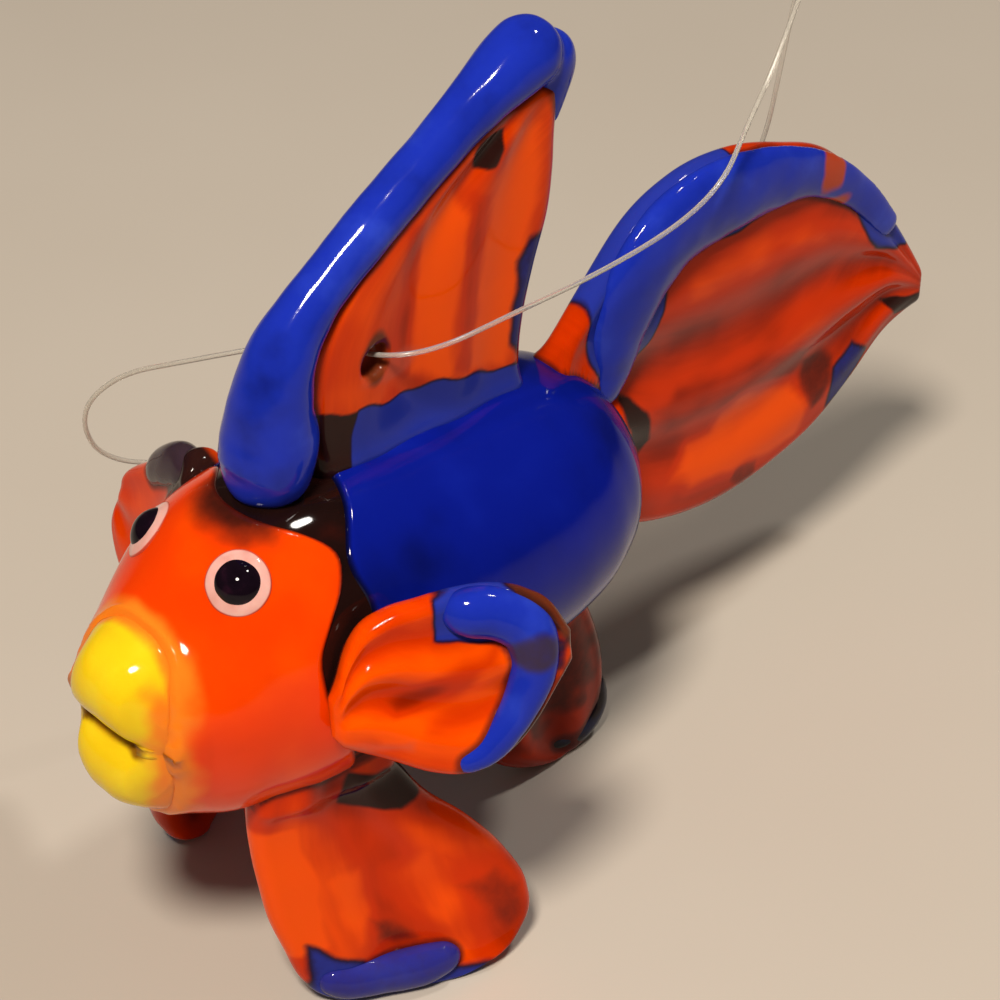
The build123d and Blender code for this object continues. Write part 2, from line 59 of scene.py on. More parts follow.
Rows = tuple[tuple[float, ...], ...]
Triple = tuple[float, float, float]


class Side(Enum):
    """The two sides of the fish, as the sign of X."""

    LEFT = 1
    RIGHT = -1


class Stain(Enum):
    """Vertex fields the glass finishes read: where glass runs into glass, and painted shade and highlight."""

    TONE = "tone"
    SEAM = "seam"
    BLUE = "blue"
    SMOKE = "smoke"
    HAZE = "haze"
    PEACH = "peach"
    AMBER = "amber"


def linear(code: str, alpha: float = 1.0) -> tuple[float, float, float, float]:
    """Turn an sRGB hex colour into linear RGBA.

    Args:
        code: six hex digits, with or without a leading hash.
        alpha: the fourth channel.

    Returns:
        Linear red, green, blue and alpha.
    """
    digits = code.lstrip("#")
    parts = [int(digits[k:k + 2], 16) / 255 for k in (0, 2, 4)]
    red, green, blue = (p / 12.92 if p <= 0.04045 else ((p + 0.055) / 1.055) ** 2.4 for p in parts)
    return red, green, blue, alpha


def add(tree: NodeTree, kind: str, links: dict | None = None, **settings: object) -> Node:
    """Add a node, set its properties and fill or link its inputs.

    Args:
        tree: the node tree.
        kind: the node's type name.
        links: input name or index to a socket or a plain value.
        **settings: node properties.

    Returns:
        The new node.
    """
    node = tree.nodes.new(kind)
    for key, value in settings.items():
        setattr(node, key, value)
    for key, value in (links or {}).items():
        if isinstance(value, NodeSocket):
            tree.links.new(value, node.inputs[key])
        else:
            node.inputs[key].default_value = value
    return node


def bare_material(name: str) -> tuple[Material, NodeTree]:
    """A new material with an empty node tree, and the tree."""
    material = bpy.data.materials.new(name)
    material.use_nodes = True
    material.node_tree.nodes.clear()
    return material, material.node_tree


def smoothstep(low: float, high: float, value: np.ndarray) -> np.ndarray:
    """Rise smoothly from 0 at low to 1 at high."""
    share = np.clip((value - low) / (high - low), 0.0, 1.0)
    return share * share * (3.0 - 2.0 * share)


def through(knots: np.ndarray, values: np.ndarray, stops: np.ndarray) -> np.ndarray:
    """Read a smooth curve that passes through a table's rows.

    Args:
        knots: rising places of the rows.
        values: one row of numbers for each knot.
        stops: places to read.

    Returns:
        One row of numbers for each stop.
    """
    knots, values, stops = np.asarray(knots, float), np.asarray(values, float), np.asarray(stops, float)
    steps = np.diff(knots)
    slopes = np.diff(values, axis=0) / steps[:, None]
    tangents = np.empty_like(values)
    tangents[0], tangents[-1] = slopes[0], slopes[-1]
    weight = (steps[:-1] / (steps[:-1] + steps[1:]))[:, None]
    tangents[1:-1] = slopes[:-1] * (1 - weight) + slopes[1:] * weight
    at = np.clip(np.searchsorted(knots, stops, side="right") - 1, 0, len(knots) - 2)
    step = steps[at][:, None]
    t = np.clip((stops - knots[at])[:, None] / step, 0.0, 1.0)
    return (
        (2 * t**3 - 3 * t**2 + 1) * values[at]
        + (t**3 - 2 * t**2 + t) * step * tangents[at]
        + (3 * t**2 - 2 * t**3) * values[at + 1]
        + (t**3 - t**2) * step * tangents[at + 1]
    )


def unit(vector: tuple | np.ndarray) -> np.ndarray:
    """The vector at length one."""
    vector = np.asarray(vector, float)
    return vector / np.linalg.norm(vector)


def ripple(points: np.ndarray, grain: float, seed: float) -> np.ndarray:
    """Smooth noise from -1 to 1 at each point.

    Args:
        points: places in millimetres.
        grain: size of the noise's swells in millimetres.
        seed: moves the noise, so that pieces differ.

    Returns:
        One number for each point.
    """
    shift = Vector((seed, 2.3 * seed, -1.7 * seed))
    return np.array([noise.noise(Vector(p) / grain + shift) for p in points])


def mesh_points(mesh: Mesh) -> np.ndarray:
    """The mesh's vertices in millimetres."""
    flat = np.empty(len(mesh.vertices) * 3)
    mesh.vertices.foreach_get("co", flat)
    return flat.reshape(-1, 3) / MM


def mesh_normals(mesh: Mesh) -> np.ndarray:
    """The mesh's vertex normals."""
    flat = np.empty(len(mesh.vertices) * 3)
    mesh.vertices.foreach_get("normal", flat)
    return flat.reshape(-1, 3)


def set_points(mesh: Mesh, points: np.ndarray) -> None:
    """Move the mesh's vertices to points in millimetres."""
    mesh.vertices.foreach_set("co", (np.asarray(points) * MM).ravel())
    mesh.update()


def set_field(mesh: Mesh, name: str, values: np.ndarray) -> None:
    """Store one number for each vertex under a name."""
    layer = mesh.attributes.get(name) or mesh.attributes.new(name, "FLOAT", "POINT")
    layer.data.foreach_set("value", np.asarray(values, dtype=np.float32))


def read_field(mesh: Mesh, name: str) -> np.ndarray:
    """One number for each vertex, or zeros where the mesh has no such field."""
    values = np.zeros(len(mesh.vertices), dtype=np.float32)
    layer = mesh.attributes.get(name)
    if layer:
        layer.data.foreach_get("value", values)
    return values.astype(float)


@contextmanager
def editing(mesh: Mesh) -> Iterator[BMesh]:
    """Open a mesh for editing and write it back afterwards."""
    work = bmesh.new()
    work.from_mesh(mesh)
    yield work
    work.to_mesh(mesh)
    work.free()
    mesh.update()


def face_outwards(work: BMesh) -> None:
    """Turn the faces of a closed skin outwards and shade them smooth."""
    bmesh.ops.recalc_face_normals(work, faces=work.faces)
    for face in work.faces:
        face.smooth = True


def close_skin(mesh: Mesh) -> None:
    """Merge the doubles of a closed mesh, turn its faces outwards and shade them smooth."""
    with editing(mesh) as work:
        bmesh.ops.remove_doubles(work, verts=work.verts, dist=SAME_PLACE)
        bmesh.ops.dissolve_degenerate(work, edges=work.edges, dist=SAME_PLACE / 2)
        face_outwards(work)


def stand(name: str, data: ID) -> Object:
    """A new object in the scene, with its data."""
    thing = bpy.data.objects.new(name, data)
    bpy.context.scene.collection.objects.link(thing)
    return thing


def freeze(holder: Object) -> Mesh:
    """Take what an object's modifiers make as a plain mesh, and remove the object."""
    bpy.context.view_layer.update()
    mesh = bpy.data.meshes.new_from_object(holder.evaluated_get(bpy.context.evaluated_depsgraph_get()))
    holder.modifiers.clear()
    bpy.data.objects.remove(holder)
    return mesh


def loft(name: str, rings: np.ndarray, fields: dict[str, np.ndarray] | None = None) -> Mesh:
    """Make a closed mesh through rings of points.

    Args:
        name: the mesh's name.
        rings: rings by points by three, in millimetres.
        fields: numbers for each ring and point, stored under their names.

    Returns:
        The mesh, in metres.
    """
    count, around = rings.shape[:2]
    points = np.concatenate([rings.reshape(-1, 3), rings[0].mean(0)[None], rings[-1].mean(0)[None]])
    faces = []
    for k in range(count - 1):
        low, high = k * around, (k + 1) * around
        for j in range(around):
            after = (j + 1) % around
            faces.append((low + j, low + after, high + after, high + j))
    first, last = count * around, count * around + 1
    for j in range(around):
        after = (j + 1) % around
        faces.append((first, after, j))
        faces.append((last, (count - 1) * around + j, (count - 1) * around + after))
    mesh = bpy.data.meshes.new(name)
    mesh.from_pydata([tuple(p * MM) for p in points], [], faces)
    for key, values in (fields or {}).items():
        ends = np.array([values[0].mean(), values[-1].mean()])
        set_field(mesh, key, np.concatenate([values.ravel(), ends]))
    close_skin(mesh)
    return mesh


def surface_of(mesh: Mesh) -> BVHTree:
    """A mesh's surface as a search tree."""
    return BVHTree.FromPolygons([v.co for v in mesh.vertices], [tuple(f.vertices) for f in mesh.polygons])


def distance_to(points: np.ndarray, mesh: Mesh) -> np.ndarray:
    """Distance in millimetres from each point to a mesh's surface, negative inside it."""
    tree = surface_of(mesh)
    out = np.empty(len(points))
    for k, point in enumerate(points):
        here = Vector(point * MM)
        near, normal, _, away = tree.find_nearest(here)
        out[k] = away / MM * (1 if (here - near).dot(normal) >= 0 else -1)
    return out


def blend(
    mesh: Mesh, other: BVHTree, reach: float | np.ndarray, search: float = 4.0, least: float = 0.3,
) -> np.ndarray:
    """Where a mesh's vertices lie once its glass has run together with another piece's.

    Args:
        mesh: the mesh, which isn't changed.
        other: the other piece's surface, as it was before.
        reach: how far from the other piece the fillet starts, in millimetres.
        search: how far the other piece is looked for, in millimetres.
        least: the length below which the sum of the two facings is no longer made one.

    Returns:
        How far each vertex moves, in millimetres.
    """
    points, normals = mesh_points(mesh), mesh_normals(mesh)
    reach = np.broadcast_to(reach, len(points))
    moves = np.zeros_like(points)
    for k, (point, normal, wide) in enumerate(zip(points, normals, reach)):
        _, facing, _, away = other.find_nearest(Vector(point * MM), search * MM)
        if away is None or away / MM > wide:
            continue
        share = 1.0 - away / MM / wide
        way = normal * (1.0 - share / 2) + np.array(facing) * share / 2
        size = np.linalg.norm(way)
        # the fillet stands a quarter of its reach high where the pieces touch
        moves[k] = way / size * min(1.0, wide / 4 * share**2 / max(size, least))
    return moves


def melt(mesh: Mesh, voxel: float = 0.24, rounds: int = 5) -> None:
    """Run a mesh's overlapping parts together into one smooth skin.

    Args:
        mesh: the mesh, which is replaced in place.
        voxel: the size of its new faces in millimetres.
        rounds: how often it is smoothed.
    """
    holder = stand("melting", mesh)
    remesh = holder.modifiers.new("melt", "REMESH")
    remesh.mode, remesh.voxel_size, remesh.use_smooth_shade = "VOXEL", voxel * MM, True
    soften = holder.modifiers.new("soften", "SMOOTH")
    soften.factor, soften.iterations = 0.5, rounds
    melted = freeze(holder)
    work = bmesh.new()
    work.from_mesh(melted)
    work.to_mesh(mesh)
    work.free()
    bpy.data.meshes.remove(melted)
    mesh.update()


@dataclass(frozen=True)
class Spot:
    """A soft ellipsoid on a piece, inside which one glass has run into another, or shade is painted.

    Attributes:
        at: its centre.
        reach: half its size along X, Y and Z.
        strength: how strong it is in the middle.
        wander: how far its outline strays, as a share of its reach.
        fade: the shares of its reach between which it fades.
        grain: size of its outline's waves in millimetres.
    """

    at: Triple
    reach: Triple
    strength: float = 1.0
    wander: float = 0.35
    fade: tuple[float, float] = (0.6, 1.4)
    grain: float = 1.6

    def cover(self, points: np.ndarray) -> np.ndarray:
        """How strongly the spot covers each point."""
        away = np.linalg.norm((points - np.array(self.at)) / np.array(self.reach), axis=1)
        near = away < 2.0
        if near.any():
            away[near] += self.wander * ripple(points[near], self.grain, self.at[1])
        return self.strength * (1.0 - smoothstep(*self.fade, away))


def spotted(points: np.ndarray, spots: tuple[Spot, ...]) -> np.ndarray:
    """The strongest cover of several spots at each point."""
    cover = np.zeros(len(points))
    for spot in spots:
        cover = np.maximum(cover, spot.cover(points))
    return cover


@dataclass(frozen=True)
class Sheet:
    """The flat plane that a fin's web lies in.

    Attributes:
        origin: the place of share (0, 0) in millimetres.
        along, up, out: its two directions, and the one that its front looks in.
        length, height: what a share of one measures along each.
    """

    origin: np.ndarray
    along: np.ndarray
    up: np.ndarray
    out: np.ndarray
    length: float
    height: float

    def at(self, along: float, high: float, proud: float = 0.0) -> np.ndarray:
        """A place on the sheet, or proud of it, from shares."""
        return (
            self.origin + self.along * along * self.length + self.up * high * self.height + self.out * proud
        )

    def line(self, places: Iterable[tuple[float, float]], proud: float = 0.0) -> np.ndarray:
        """Several places on the sheet, or proud of it."""
        return np.array([self.at(along, high, proud) for along, high in places])

    def flat(self, points: np.ndarray) -> np.ndarray:
        """Points as two distances in the plane, in millimetres."""
        away = points - self.origin
        return np.stack([away @ self.along, away @ self.up], 1)


@dataclass(frozen=True)
class Patch:
    """An area of a web, drawn in shares of its sheet.

    Attributes:
        outline: its corners.
        strength: how strong it is inside.
        soft: how far its edge fades to each side, in millimetres.
        wander: how far its outline strays, in millimetres.
        grain: size of its outline's waves in millimetres.
    """

    outline: Rows
    strength: float = 1.0
    soft: float = 0.7
    wander: float = 0.35
    grain: float = 2.2

    def cover(self, points: np.ndarray, sheet: Sheet) -> np.ndarray:
        """How strongly the patch covers each point."""
        flat = sheet.flat(points)
        corners = np.array(self.outline) * (sheet.length, sheet.height)
        near, odd = np.full(len(flat), np.inf), np.zeros(len(flat), bool)
        for a, b in zip(corners, np.roll(corners, -1, axis=0)):
            edge = b - a
            share = np.clip((flat - a) @ edge / (edge @ edge), 0, 1)
            near = np.minimum(near, np.linalg.norm(flat - a - share[:, None] * edge, axis=1))
            if a[1] != b[1]:
                spans = (flat[:, 1] < a[1]) != (flat[:, 1] < b[1])
                odd ^= spans & (flat[:, 0] < a[0] + (flat[:, 1] - a[1]) * edge[0] / edge[1])
        inside = np.where(odd, near, -near) + self.wander * ripple(points, self.grain, corners[0, 0])
        return self.strength * smoothstep(-self.soft, self.soft, inside)


@dataclass(frozen=True)
class Run:
    """One glass that runs over another where a vertex field is strong; some runs are painted shade or
    highlight.

    Attributes:
        stain: the field.
        colour: sRGB hex.
        start: field value where it begins to show.
        end: field value where it covers.
    """

    stain: Stain
    colour: str
    start: float = 0.30
    end: float = 0.60


@dataclass(frozen=True)
class Glass:
    """Soft soda-lime glass, drawn and pressed hot, then fire polished.

    Attributes:
        name: the material's name.
        deep: colour where the glass is thick or in a groove.
        middle: colour of most of it.
        bright: colour where it is thin and lit through.
        runs: other glasses that run over it, in order; some of them also paint shade or highlight.
        grain_mm: size of the cords and clouds in the pigment.
        grain_strength: how much these move the tone.
        stretch: how much longer the clouds are along the pleats than across.
        roughness: fire polish is nearly a mirror.
        specular: how strongly it mirrors the room.
        subsurface: how much of the light glows inside the pigment.
        subsurface_radius: how far red, green and blue light goes in, next to each other.
        glow_mm: how far it goes in.
        swell_mm, swell_height_mm: length and height of the swells of the drawn surface.
        fray_mm, fray: size of the waves of a run's edge, and how much they move it.
        ramp: the tones at which the deep colour ends and the bright one begins.
    """

    name: str
    deep: str
    middle: str
    bright: str
    runs: tuple[Run, ...] = ()
    grain_mm: float = 2.5
    grain_strength: float = 0.35
    stretch: float = 1.0
    roughness: float = 0.05
    specular: float = 0.2
    subsurface: float = 0.18
    subsurface_radius: Triple = (1.0, 0.35, 0.2)
    glow_mm: float = 1.2
    swell_mm: float = 3.0
    swell_height_mm: float = 0.08
    fray_mm: float = 0.9
    fray: float = 0.14
    ramp: tuple[float, float] = (0.12, 0.88)

    def material(self) -> Material:
        """Build the node material."""
        material, tree = bare_material(self.name)
        colour, cloud, place = self.colour(tree)
        # swells of the drawn surface bend the highlights
        swell = add(
            tree, "ShaderNodeTexNoise", {"Vector": place, "Scale": 1 / (self.swell_mm * MM), "Detail": 1.0},
        )
        bump = add(
            tree, "ShaderNodeBump",
            {"Height": swell.outputs["Fac"], "Strength": 0.35, "Distance": self.swell_height_mm * MM},
        )
        gloss = add(
            tree, "ShaderNodeMapRange",
            {"Value": cloud, "To Min": self.roughness, "To Max": self.roughness + 0.05},
        )
        surface = add(
            tree, "ShaderNodeBsdfPrincipled",
            {
                "Base Color": colour,
                "Roughness": gloss.outputs["Result"],
                "Normal": bump.outputs["Normal"],
                "IOR": 1.5,
                "Specular IOR Level": self.specular,
                "Subsurface Weight": self.subsurface,
                "Subsurface Radius": self.subsurface_radius,
                "Subsurface Scale": self.glow_mm * MM,
            },
        )
        add(tree, "ShaderNodeOutputMaterial", {"Surface": surface.outputs["BSDF"]})
        return material

    def colour(self, tree: NodeTree) -> tuple[NodeSocket, ...]:
        """Add the nodes for the pigment's tone and for the glasses that run over it.

        Args:
            tree: the material's node tree.

        Returns:
            The colour, the fine cloud and the coordinates.
        """
        place = add(tree, "ShaderNodeTexCoord").outputs["Object"]
        along = place
        if self.stretch > 1.0:
            lay = add(tree, "ShaderNodeAttribute", attribute_name="lay")
            along = add(
                tree, "ShaderNodeMapping",
                {"Vector": lay.outputs["Vector"], "Scale": (1.0, 1.0 / self.stretch, 1.0)},
            ).outputs["Vector"]
        cloud = add(
            tree, "ShaderNodeTexNoise",
            {"Vector": along, "Scale": 1 / (self.grain_mm * MM), "Detail": 3.0, "Roughness": 0.55},
        ).outputs["Fac"]
        tone = add(tree, "ShaderNodeAttribute", attribute_name=Stain.TONE.value).outputs["Fac"]
        sway = add(
            tree, "ShaderNodeMath", {0: cloud, 1: self.grain_strength, 2: -0.5 * self.grain_strength},
            operation="MULTIPLY_ADD",
        )
        moved = add(tree, "ShaderNodeMath", {0: tone, 1: sway.outputs[0]}, operation="ADD")
        ramp = add(tree, "ShaderNodeValToRGB", {"Fac": moved.outputs[0]})
        ramp.color_ramp.interpolation = "EASE"
        stops = ramp.color_ramp.elements
        for stop, position, code in zip(stops, self.ramp, (self.deep, self.bright)):
            stop.position, stop.color = position, linear(code)
        stops.new(0.5).color = linear(self.middle)
        colour = ramp.outputs["Color"]
        if self.runs:
            wave = add(
                tree, "ShaderNodeTexNoise",
                {"Vector": place, "Scale": 1 / (self.fray_mm * MM), "Detail": 2.0, "Roughness": 0.6},
            ).outputs["Fac"]
            waver = add(
                tree, "ShaderNodeMath", {0: wave, 1: self.fray, 2: -self.fray / 2}, operation="MULTIPLY_ADD",
            ).outputs[0]
        for run in self.runs:
            cover = add(tree, "ShaderNodeAttribute", attribute_name=run.stain.value).outputs["Fac"]
            moved = add(tree, "ShaderNodeMath", {0: cover, 1: waver}, operation="ADD").outputs[0]
            share = add(
                tree, "ShaderNodeMapRange",
                {"Value": moved, "From Min": run.start, "From Max": run.end},
                interpolation_type="SMOOTHSTEP",
            ).outputs["Result"]
            colour = add(
                tree, "ShaderNodeMix", {0: share, 6: colour, 7: linear(run.colour)}, data_type="RGBA",
            ).outputs[2]
        return colour, cloud, place


@dataclass(frozen=True)
class Nylon:
    """Clear drawn nylon line: a bright, slightly warm thread with a soft shine.

    Attributes:
        name: the material's name.
        colour: sRGB hex.
        roughness: where it is smoothest; the draw marks make it rougher.
        transmission: how much light goes through it.
        mark_mm: how far its faint draw marks lie apart.
    """

    name: str = "drawn clear nylon line"
    colour: str = "#ece8df"
    roughness: float = 0.12
    transmission: float = 0.72
    mark_mm: float = 1.0

    def material(self) -> Material:
        """Build the node material."""
        material, tree = bare_material(self.name)
        place = add(tree, "ShaderNodeTexCoord").outputs["Object"]
        marks = add(
            tree, "ShaderNodeTexNoise", {"Vector": place, "Scale": 1 / (self.mark_mm * MM), "Detail": 1.0},
        )
        gloss = add(
            tree, "ShaderNodeMapRange",
            {"Value": marks.outputs["Fac"], "To Min": self.roughness, "To Max": self.roughness + 0.1},
        )
        surface = add(
            tree, "ShaderNodeBsdfPrincipled",
            {
                "Base Color": linear(self.colour),
                "Roughness": gloss.outputs["Result"],
                "IOR": 1.53,
                "Transmission Weight": self.transmission,
            },
        )
        add(tree, "ShaderNodeOutputMaterial", {"Surface": surface.outputs["BSDF"]})
        return material


@dataclass(frozen=True)
class FloorPaint:
    """Pale satin paint for the floor: plain, slightly clouded, a little shiny.

    Attributes:
        name: the material's name.
        colour, shade: sRGB hex of its light and dark clouds.
        cloud_mm: size of the clouds.
    """

    name: str = "pale satin paint"
    colour: str = "#c9c0b4"
    shade: str = "#c0b6a9"
    cloud_mm: float = 60.0

    def material(self) -> Material:
        """Build the node material."""
        material, tree = bare_material(self.name)
        place = add(tree, "ShaderNodeTexCoord").outputs["Object"]
        cloud = add(
            tree, "ShaderNodeTexNoise", {"Vector": place, "Scale": 1 / (self.cloud_mm * MM), "Detail": 3.0},
        )
        colour = add(
            tree, "ShaderNodeMix",
            {0: cloud.outputs["Fac"], 6: linear(self.shade), 7: linear(self.colour)}, data_type="RGBA",
        )
        surface = add(tree, "ShaderNodeBsdfPrincipled", {"Base Color": colour.outputs[2], "Roughness": 0.5})
        add(tree, "ShaderNodeOutputMaterial", {"Surface": surface.outputs["BSDF"]})
        return material


SEAM_DARK = Run(Stain.SEAM, "#241014", 0.15, 1.0)
SMOKE = Run(Stain.SMOKE, "#2c1512", 0.25, 0.80)

# opaque pigment under clear glass: an even, glowing orange that reddens where it is thick, peach at the lips
ORANGE_CASING = Glass(
    "orange soda-lime casing, fire polished", "#c42802", "#ee3e00", "#ff5200",
    (
        Run(Stain.PEACH, "#f3811e", 0.1, 1.0), Run(Stain.SMOKE, "#35150f", 0.1, 1.0),
        Run(Stain.SEAM, "#4a0f06", 0.15, 1.0),
    ),
    grain_mm=5.5, grain_strength=0.35,
)
# cobalt in soda-lime: deep blue that goes nearly black away from the lamps, paler on its top
COBALT_CASING = Glass(
    "cobalt soda-lime casing, fire polished", "#060c48", "#081787", "#1226a6",
    (Run(Stain.HAZE, "#56609a", 0.45, 1.2), Run(Stain.SEAM, "#07071c", 0.2, 1.0)),
    grain_mm=6.0, grain_strength=0.3, subsurface_radius=(0.15, 0.25, 1.0), subsurface=0.10,
)
# clear glass over its own depth: looks black-brown with sharp, small highlights
SMOKY_GATHER = Glass(
    "smoky clear gather, fire polished", "#0e0808", "#1d0d0b", "#4c150b",
    grain_mm=3.0, grain_strength=0.3, roughness=0.03, subsurface=0.05,
)
# a thinner, lighter blue than the body's, clouded from the drawing, with dark and amber streaks
COBALT_BEAD = Glass(
    "drawn cobalt bead, fire polished", "#101a70", "#1a2fae", "#3550d2",
    (
        # the smoke run also paints shade over the right pectoral's bead, which lies in shade
        Run(Stain.SMOKE, "#3a2a34", 0.2, 0.9), Run(Stain.AMBER, "#b8401c", 0.15, 1.0),
        Run(Stain.SEAM, "#161430", 0.15, 1.0),
    ),
    grain_mm=3.0, grain_strength=0.4, subsurface_radius=(0.15, 0.25, 1.0),
)
# pleats pressed by tongs, streaked from root to tip: brighter orange on the crests and brick red in the
# grooves, partly from thicker pigment in the grooves and partly painted highlight and shade
STREAKED_WEB = Glass(
    "pleated orange web, pressed and drawn", "#8e1d00", "#d03300", "#fb5400",
    (
        # the haze run also paints a highlight on the tail's sharp crests; the amber and smoke runs also paint
        # shade in the thread hole and on the fins that lie in shade
        Run(Stain.HAZE, "#c8604a", 0.1, 1.5), Run(Stain.AMBER, "#6e3018", 0.2, 0.9), SMOKE,
        Run(Stain.BLUE, "#231226", 0.15, 0.55), Run(Stain.BLUE, "#26349c", 0.45, 0.85), SEAM_DARK,
    ),
    grain_mm=1.8, grain_strength=0.24, stretch=6.0, specular=0.12, subsurface=0.2,
)
# opaque lemon yellow that turns to peach where it melts into the orange
YELLOW_BEAD = Glass(
    "drawn yellow bead, fire polished", "#c79a14", "#efca16", "#f8de2c",
    # the seam run here is painted shade in the crease between the lips
    (Run(Stain.PEACH, "#f3811e", 0.15, 0.95), Run(Stain.SEAM, "#8a5a0e", 0.2, 1.0)),
    grain_mm=2.4, grain_strength=0.3,
)
# opaque white stained by the orange under it: a pink ring round the pupil
PINK_WHITE_BEAD = Glass(
    "pinkish white bead, pressed", "#cf8c80", "#e6aca2", "#f2cabf",
    (Run(Stain.SEAM, "#c2452c", 0.4, 1.0),), grain_mm=1.2, grain_strength=0.4,
)
# manganese black: a deep, faintly purple dome with one small highlight
BLACK_BEAD = Glass(
    "black manganese bead, pressed", "#070308", "#120812", "#2c1122",
    grain_mm=0.7, grain_strength=0.5, roughness=0.03, subsurface=0.0,
)
# leftovers of blue and orange melted together: nearly black with a bluish cloud
DARK_BEAD = Glass(
    "dark mixed bead, pressed", "#0c0a10", "#1a1418", "#3a1c18",
    (Run(Stain.BLUE, "#141b3e", 0.3, 0.7),), grain_mm=1.5, grain_strength=0.6,
)


@dataclass
class Workshop:
    """Turns finished meshes into pieces of the frame.

    Attributes:
        materials: the materials made so far, by name.
        made: names of the pieces made so far.
    """

    materials: dict[str, Material] = field(default_factory=dict)
    made: list[str] = field(default_factory=list)

    def finish_of(self, glass: Glass | Nylon) -> Material:
        """The material of a finish, made once."""
        if glass.name not in self.materials:
            self.materials[glass.name] = glass.material()
        return self.materials[glass.name]

    def place(
        self, name: str, data: ID, glass: Glass | Nylon, slot: str, *nodes: str,
    ) -> Object:
        """Make a piece from its mesh or curve.

        Args:
            name: the piece's name.
            data: its mesh or curve, with its place in it.
            glass: its finish.
            slot: a material slot's name; not used.
            *nodes: the CAD nodes that it replaces.

        Returns:
            The piece, which rides on the fish's one body.
        """
        piece = stand(name, data)
        data.materials.clear()
        data.materials.append(self.finish_of(glass))
        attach(piece, BODY)
        if nodes:
            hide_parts(*nodes)
        self.made.append(name)
        size = len(getattr(data, "polygons", [])) or "curve"
        log.info("%s: %s faces, replaces %s", name, size, ", ".join(nodes) or "nothing")
        return piece


class SweptTree:
    """Geometry nodes that draw a bead or a line of glass along a curve."""

    def __init__(self) -> None:
        """Build the node group once."""
        tree = bpy.data.node_groups.new("drawn along a path", "GeometryNodeTree")
        for name, kind in (
            ("Geometry", "Geometry"), ("Across", "Vector"), ("Flatness", "Float"), ("Points Around", "Int"),
            ("Finish", "Material"),
        ):
            tree.interface.new_socket(name=name, in_out="INPUT", socket_type="NodeSocket" + kind)
        tree.interface.new_socket(name="Geometry", in_out="OUTPUT", socket_type="NodeSocketGeometry")
        inlet = add(tree, "NodeGroupInput")
        turned = add(
            tree, "GeometryNodeSetCurveNormal",
            {"Curve": inlet.outputs["Geometry"], "Normal": inlet.outputs["Across"]}, mode="FREE",
        )
        circle = add(
            tree, "GeometryNodeCurvePrimitiveCircle",
            {"Resolution": inlet.outputs["Points Around"], "Radius": 1.0},
        )
        squeeze = add(
            tree, "ShaderNodeCombineXYZ", {"X": inlet.outputs["Flatness"], "Y": 1.0, "Z": 1.0},
        )
        oval = add(
            tree, "GeometryNodeTransform",
            {"Geometry": circle.outputs["Curve"], "Scale": squeeze.outputs["Vector"]},
        )
        width = add(tree, "GeometryNodeInputRadius")
        swept = add(
            tree, "GeometryNodeCurveToMesh",
            {
                "Curve": turned.outputs["Curve"], "Profile Curve": oval.outputs["Geometry"],
                "Scale": width.outputs["Radius"], "Fill Caps": True,
            },
        )
        smooth = add(tree, "GeometryNodeSetShadeSmooth", {"Geometry": swept.outputs["Mesh"]})
        real = add(tree, "GeometryNodeRealizeInstances", {"Geometry": smooth.outputs["Geometry"]})
        dressed = add(
            tree, "GeometryNodeSetMaterial",
            {"Geometry": real.outputs["Geometry"], "Material": inlet.outputs["Finish"]},
        )
        add(tree, "NodeGroupOutput", {"Geometry": dressed.outputs["Geometry"]})
        self.tree = tree

    def sweep(
        self, name: str, paths: Iterable[np.ndarray], radii: Iterable[np.ndarray],
        across: Triple | np.ndarray, flatness: float, around: int,
        finish: Material,
    ) -> Mesh:
        """Draw round or oval lines of glass along paths.

        Args:
            name: the mesh's name.
            paths: points of each path in millimetres.
            radii: the half width at each point.
            across: the direction in which the section is flattened.
            flatness: the section's thickness over its width.
            around: points in the section.
            finish: the material.

        Returns:
            A plain closed mesh.
        """
        curve = bpy.data.curves.new(name, "CURVE")
        curve.dimensions = "3D"
        for path, widths in zip(paths, radii):
            spline = curve.splines.new("POLY")
            spline.points.add(len(path) - 1)
            for point, at, width in zip(spline.points, path, widths):
                point.co = (*(at * MM), 1.0)
                point.radius = float(width) * MM
        holder = stand(name, curve)
        modifier = holder.modifiers.new("drawn", "NODES")
        modifier.node_group = self.tree
        values = {
            "Across": tuple(float(a) for a in across), "Flatness": flatness,
            "Points Around": around, "Finish": finish,
        }
        for item in self.tree.interface.items_tree:
            if item.in_out == "INPUT" and item.name in values:
                modifier[item.identifier] = values[item.name]
        mesh = freeze(holder)
        mesh.name = name
        bpy.data.curves.remove(curve)
        close_skin(mesh)
        return mesh


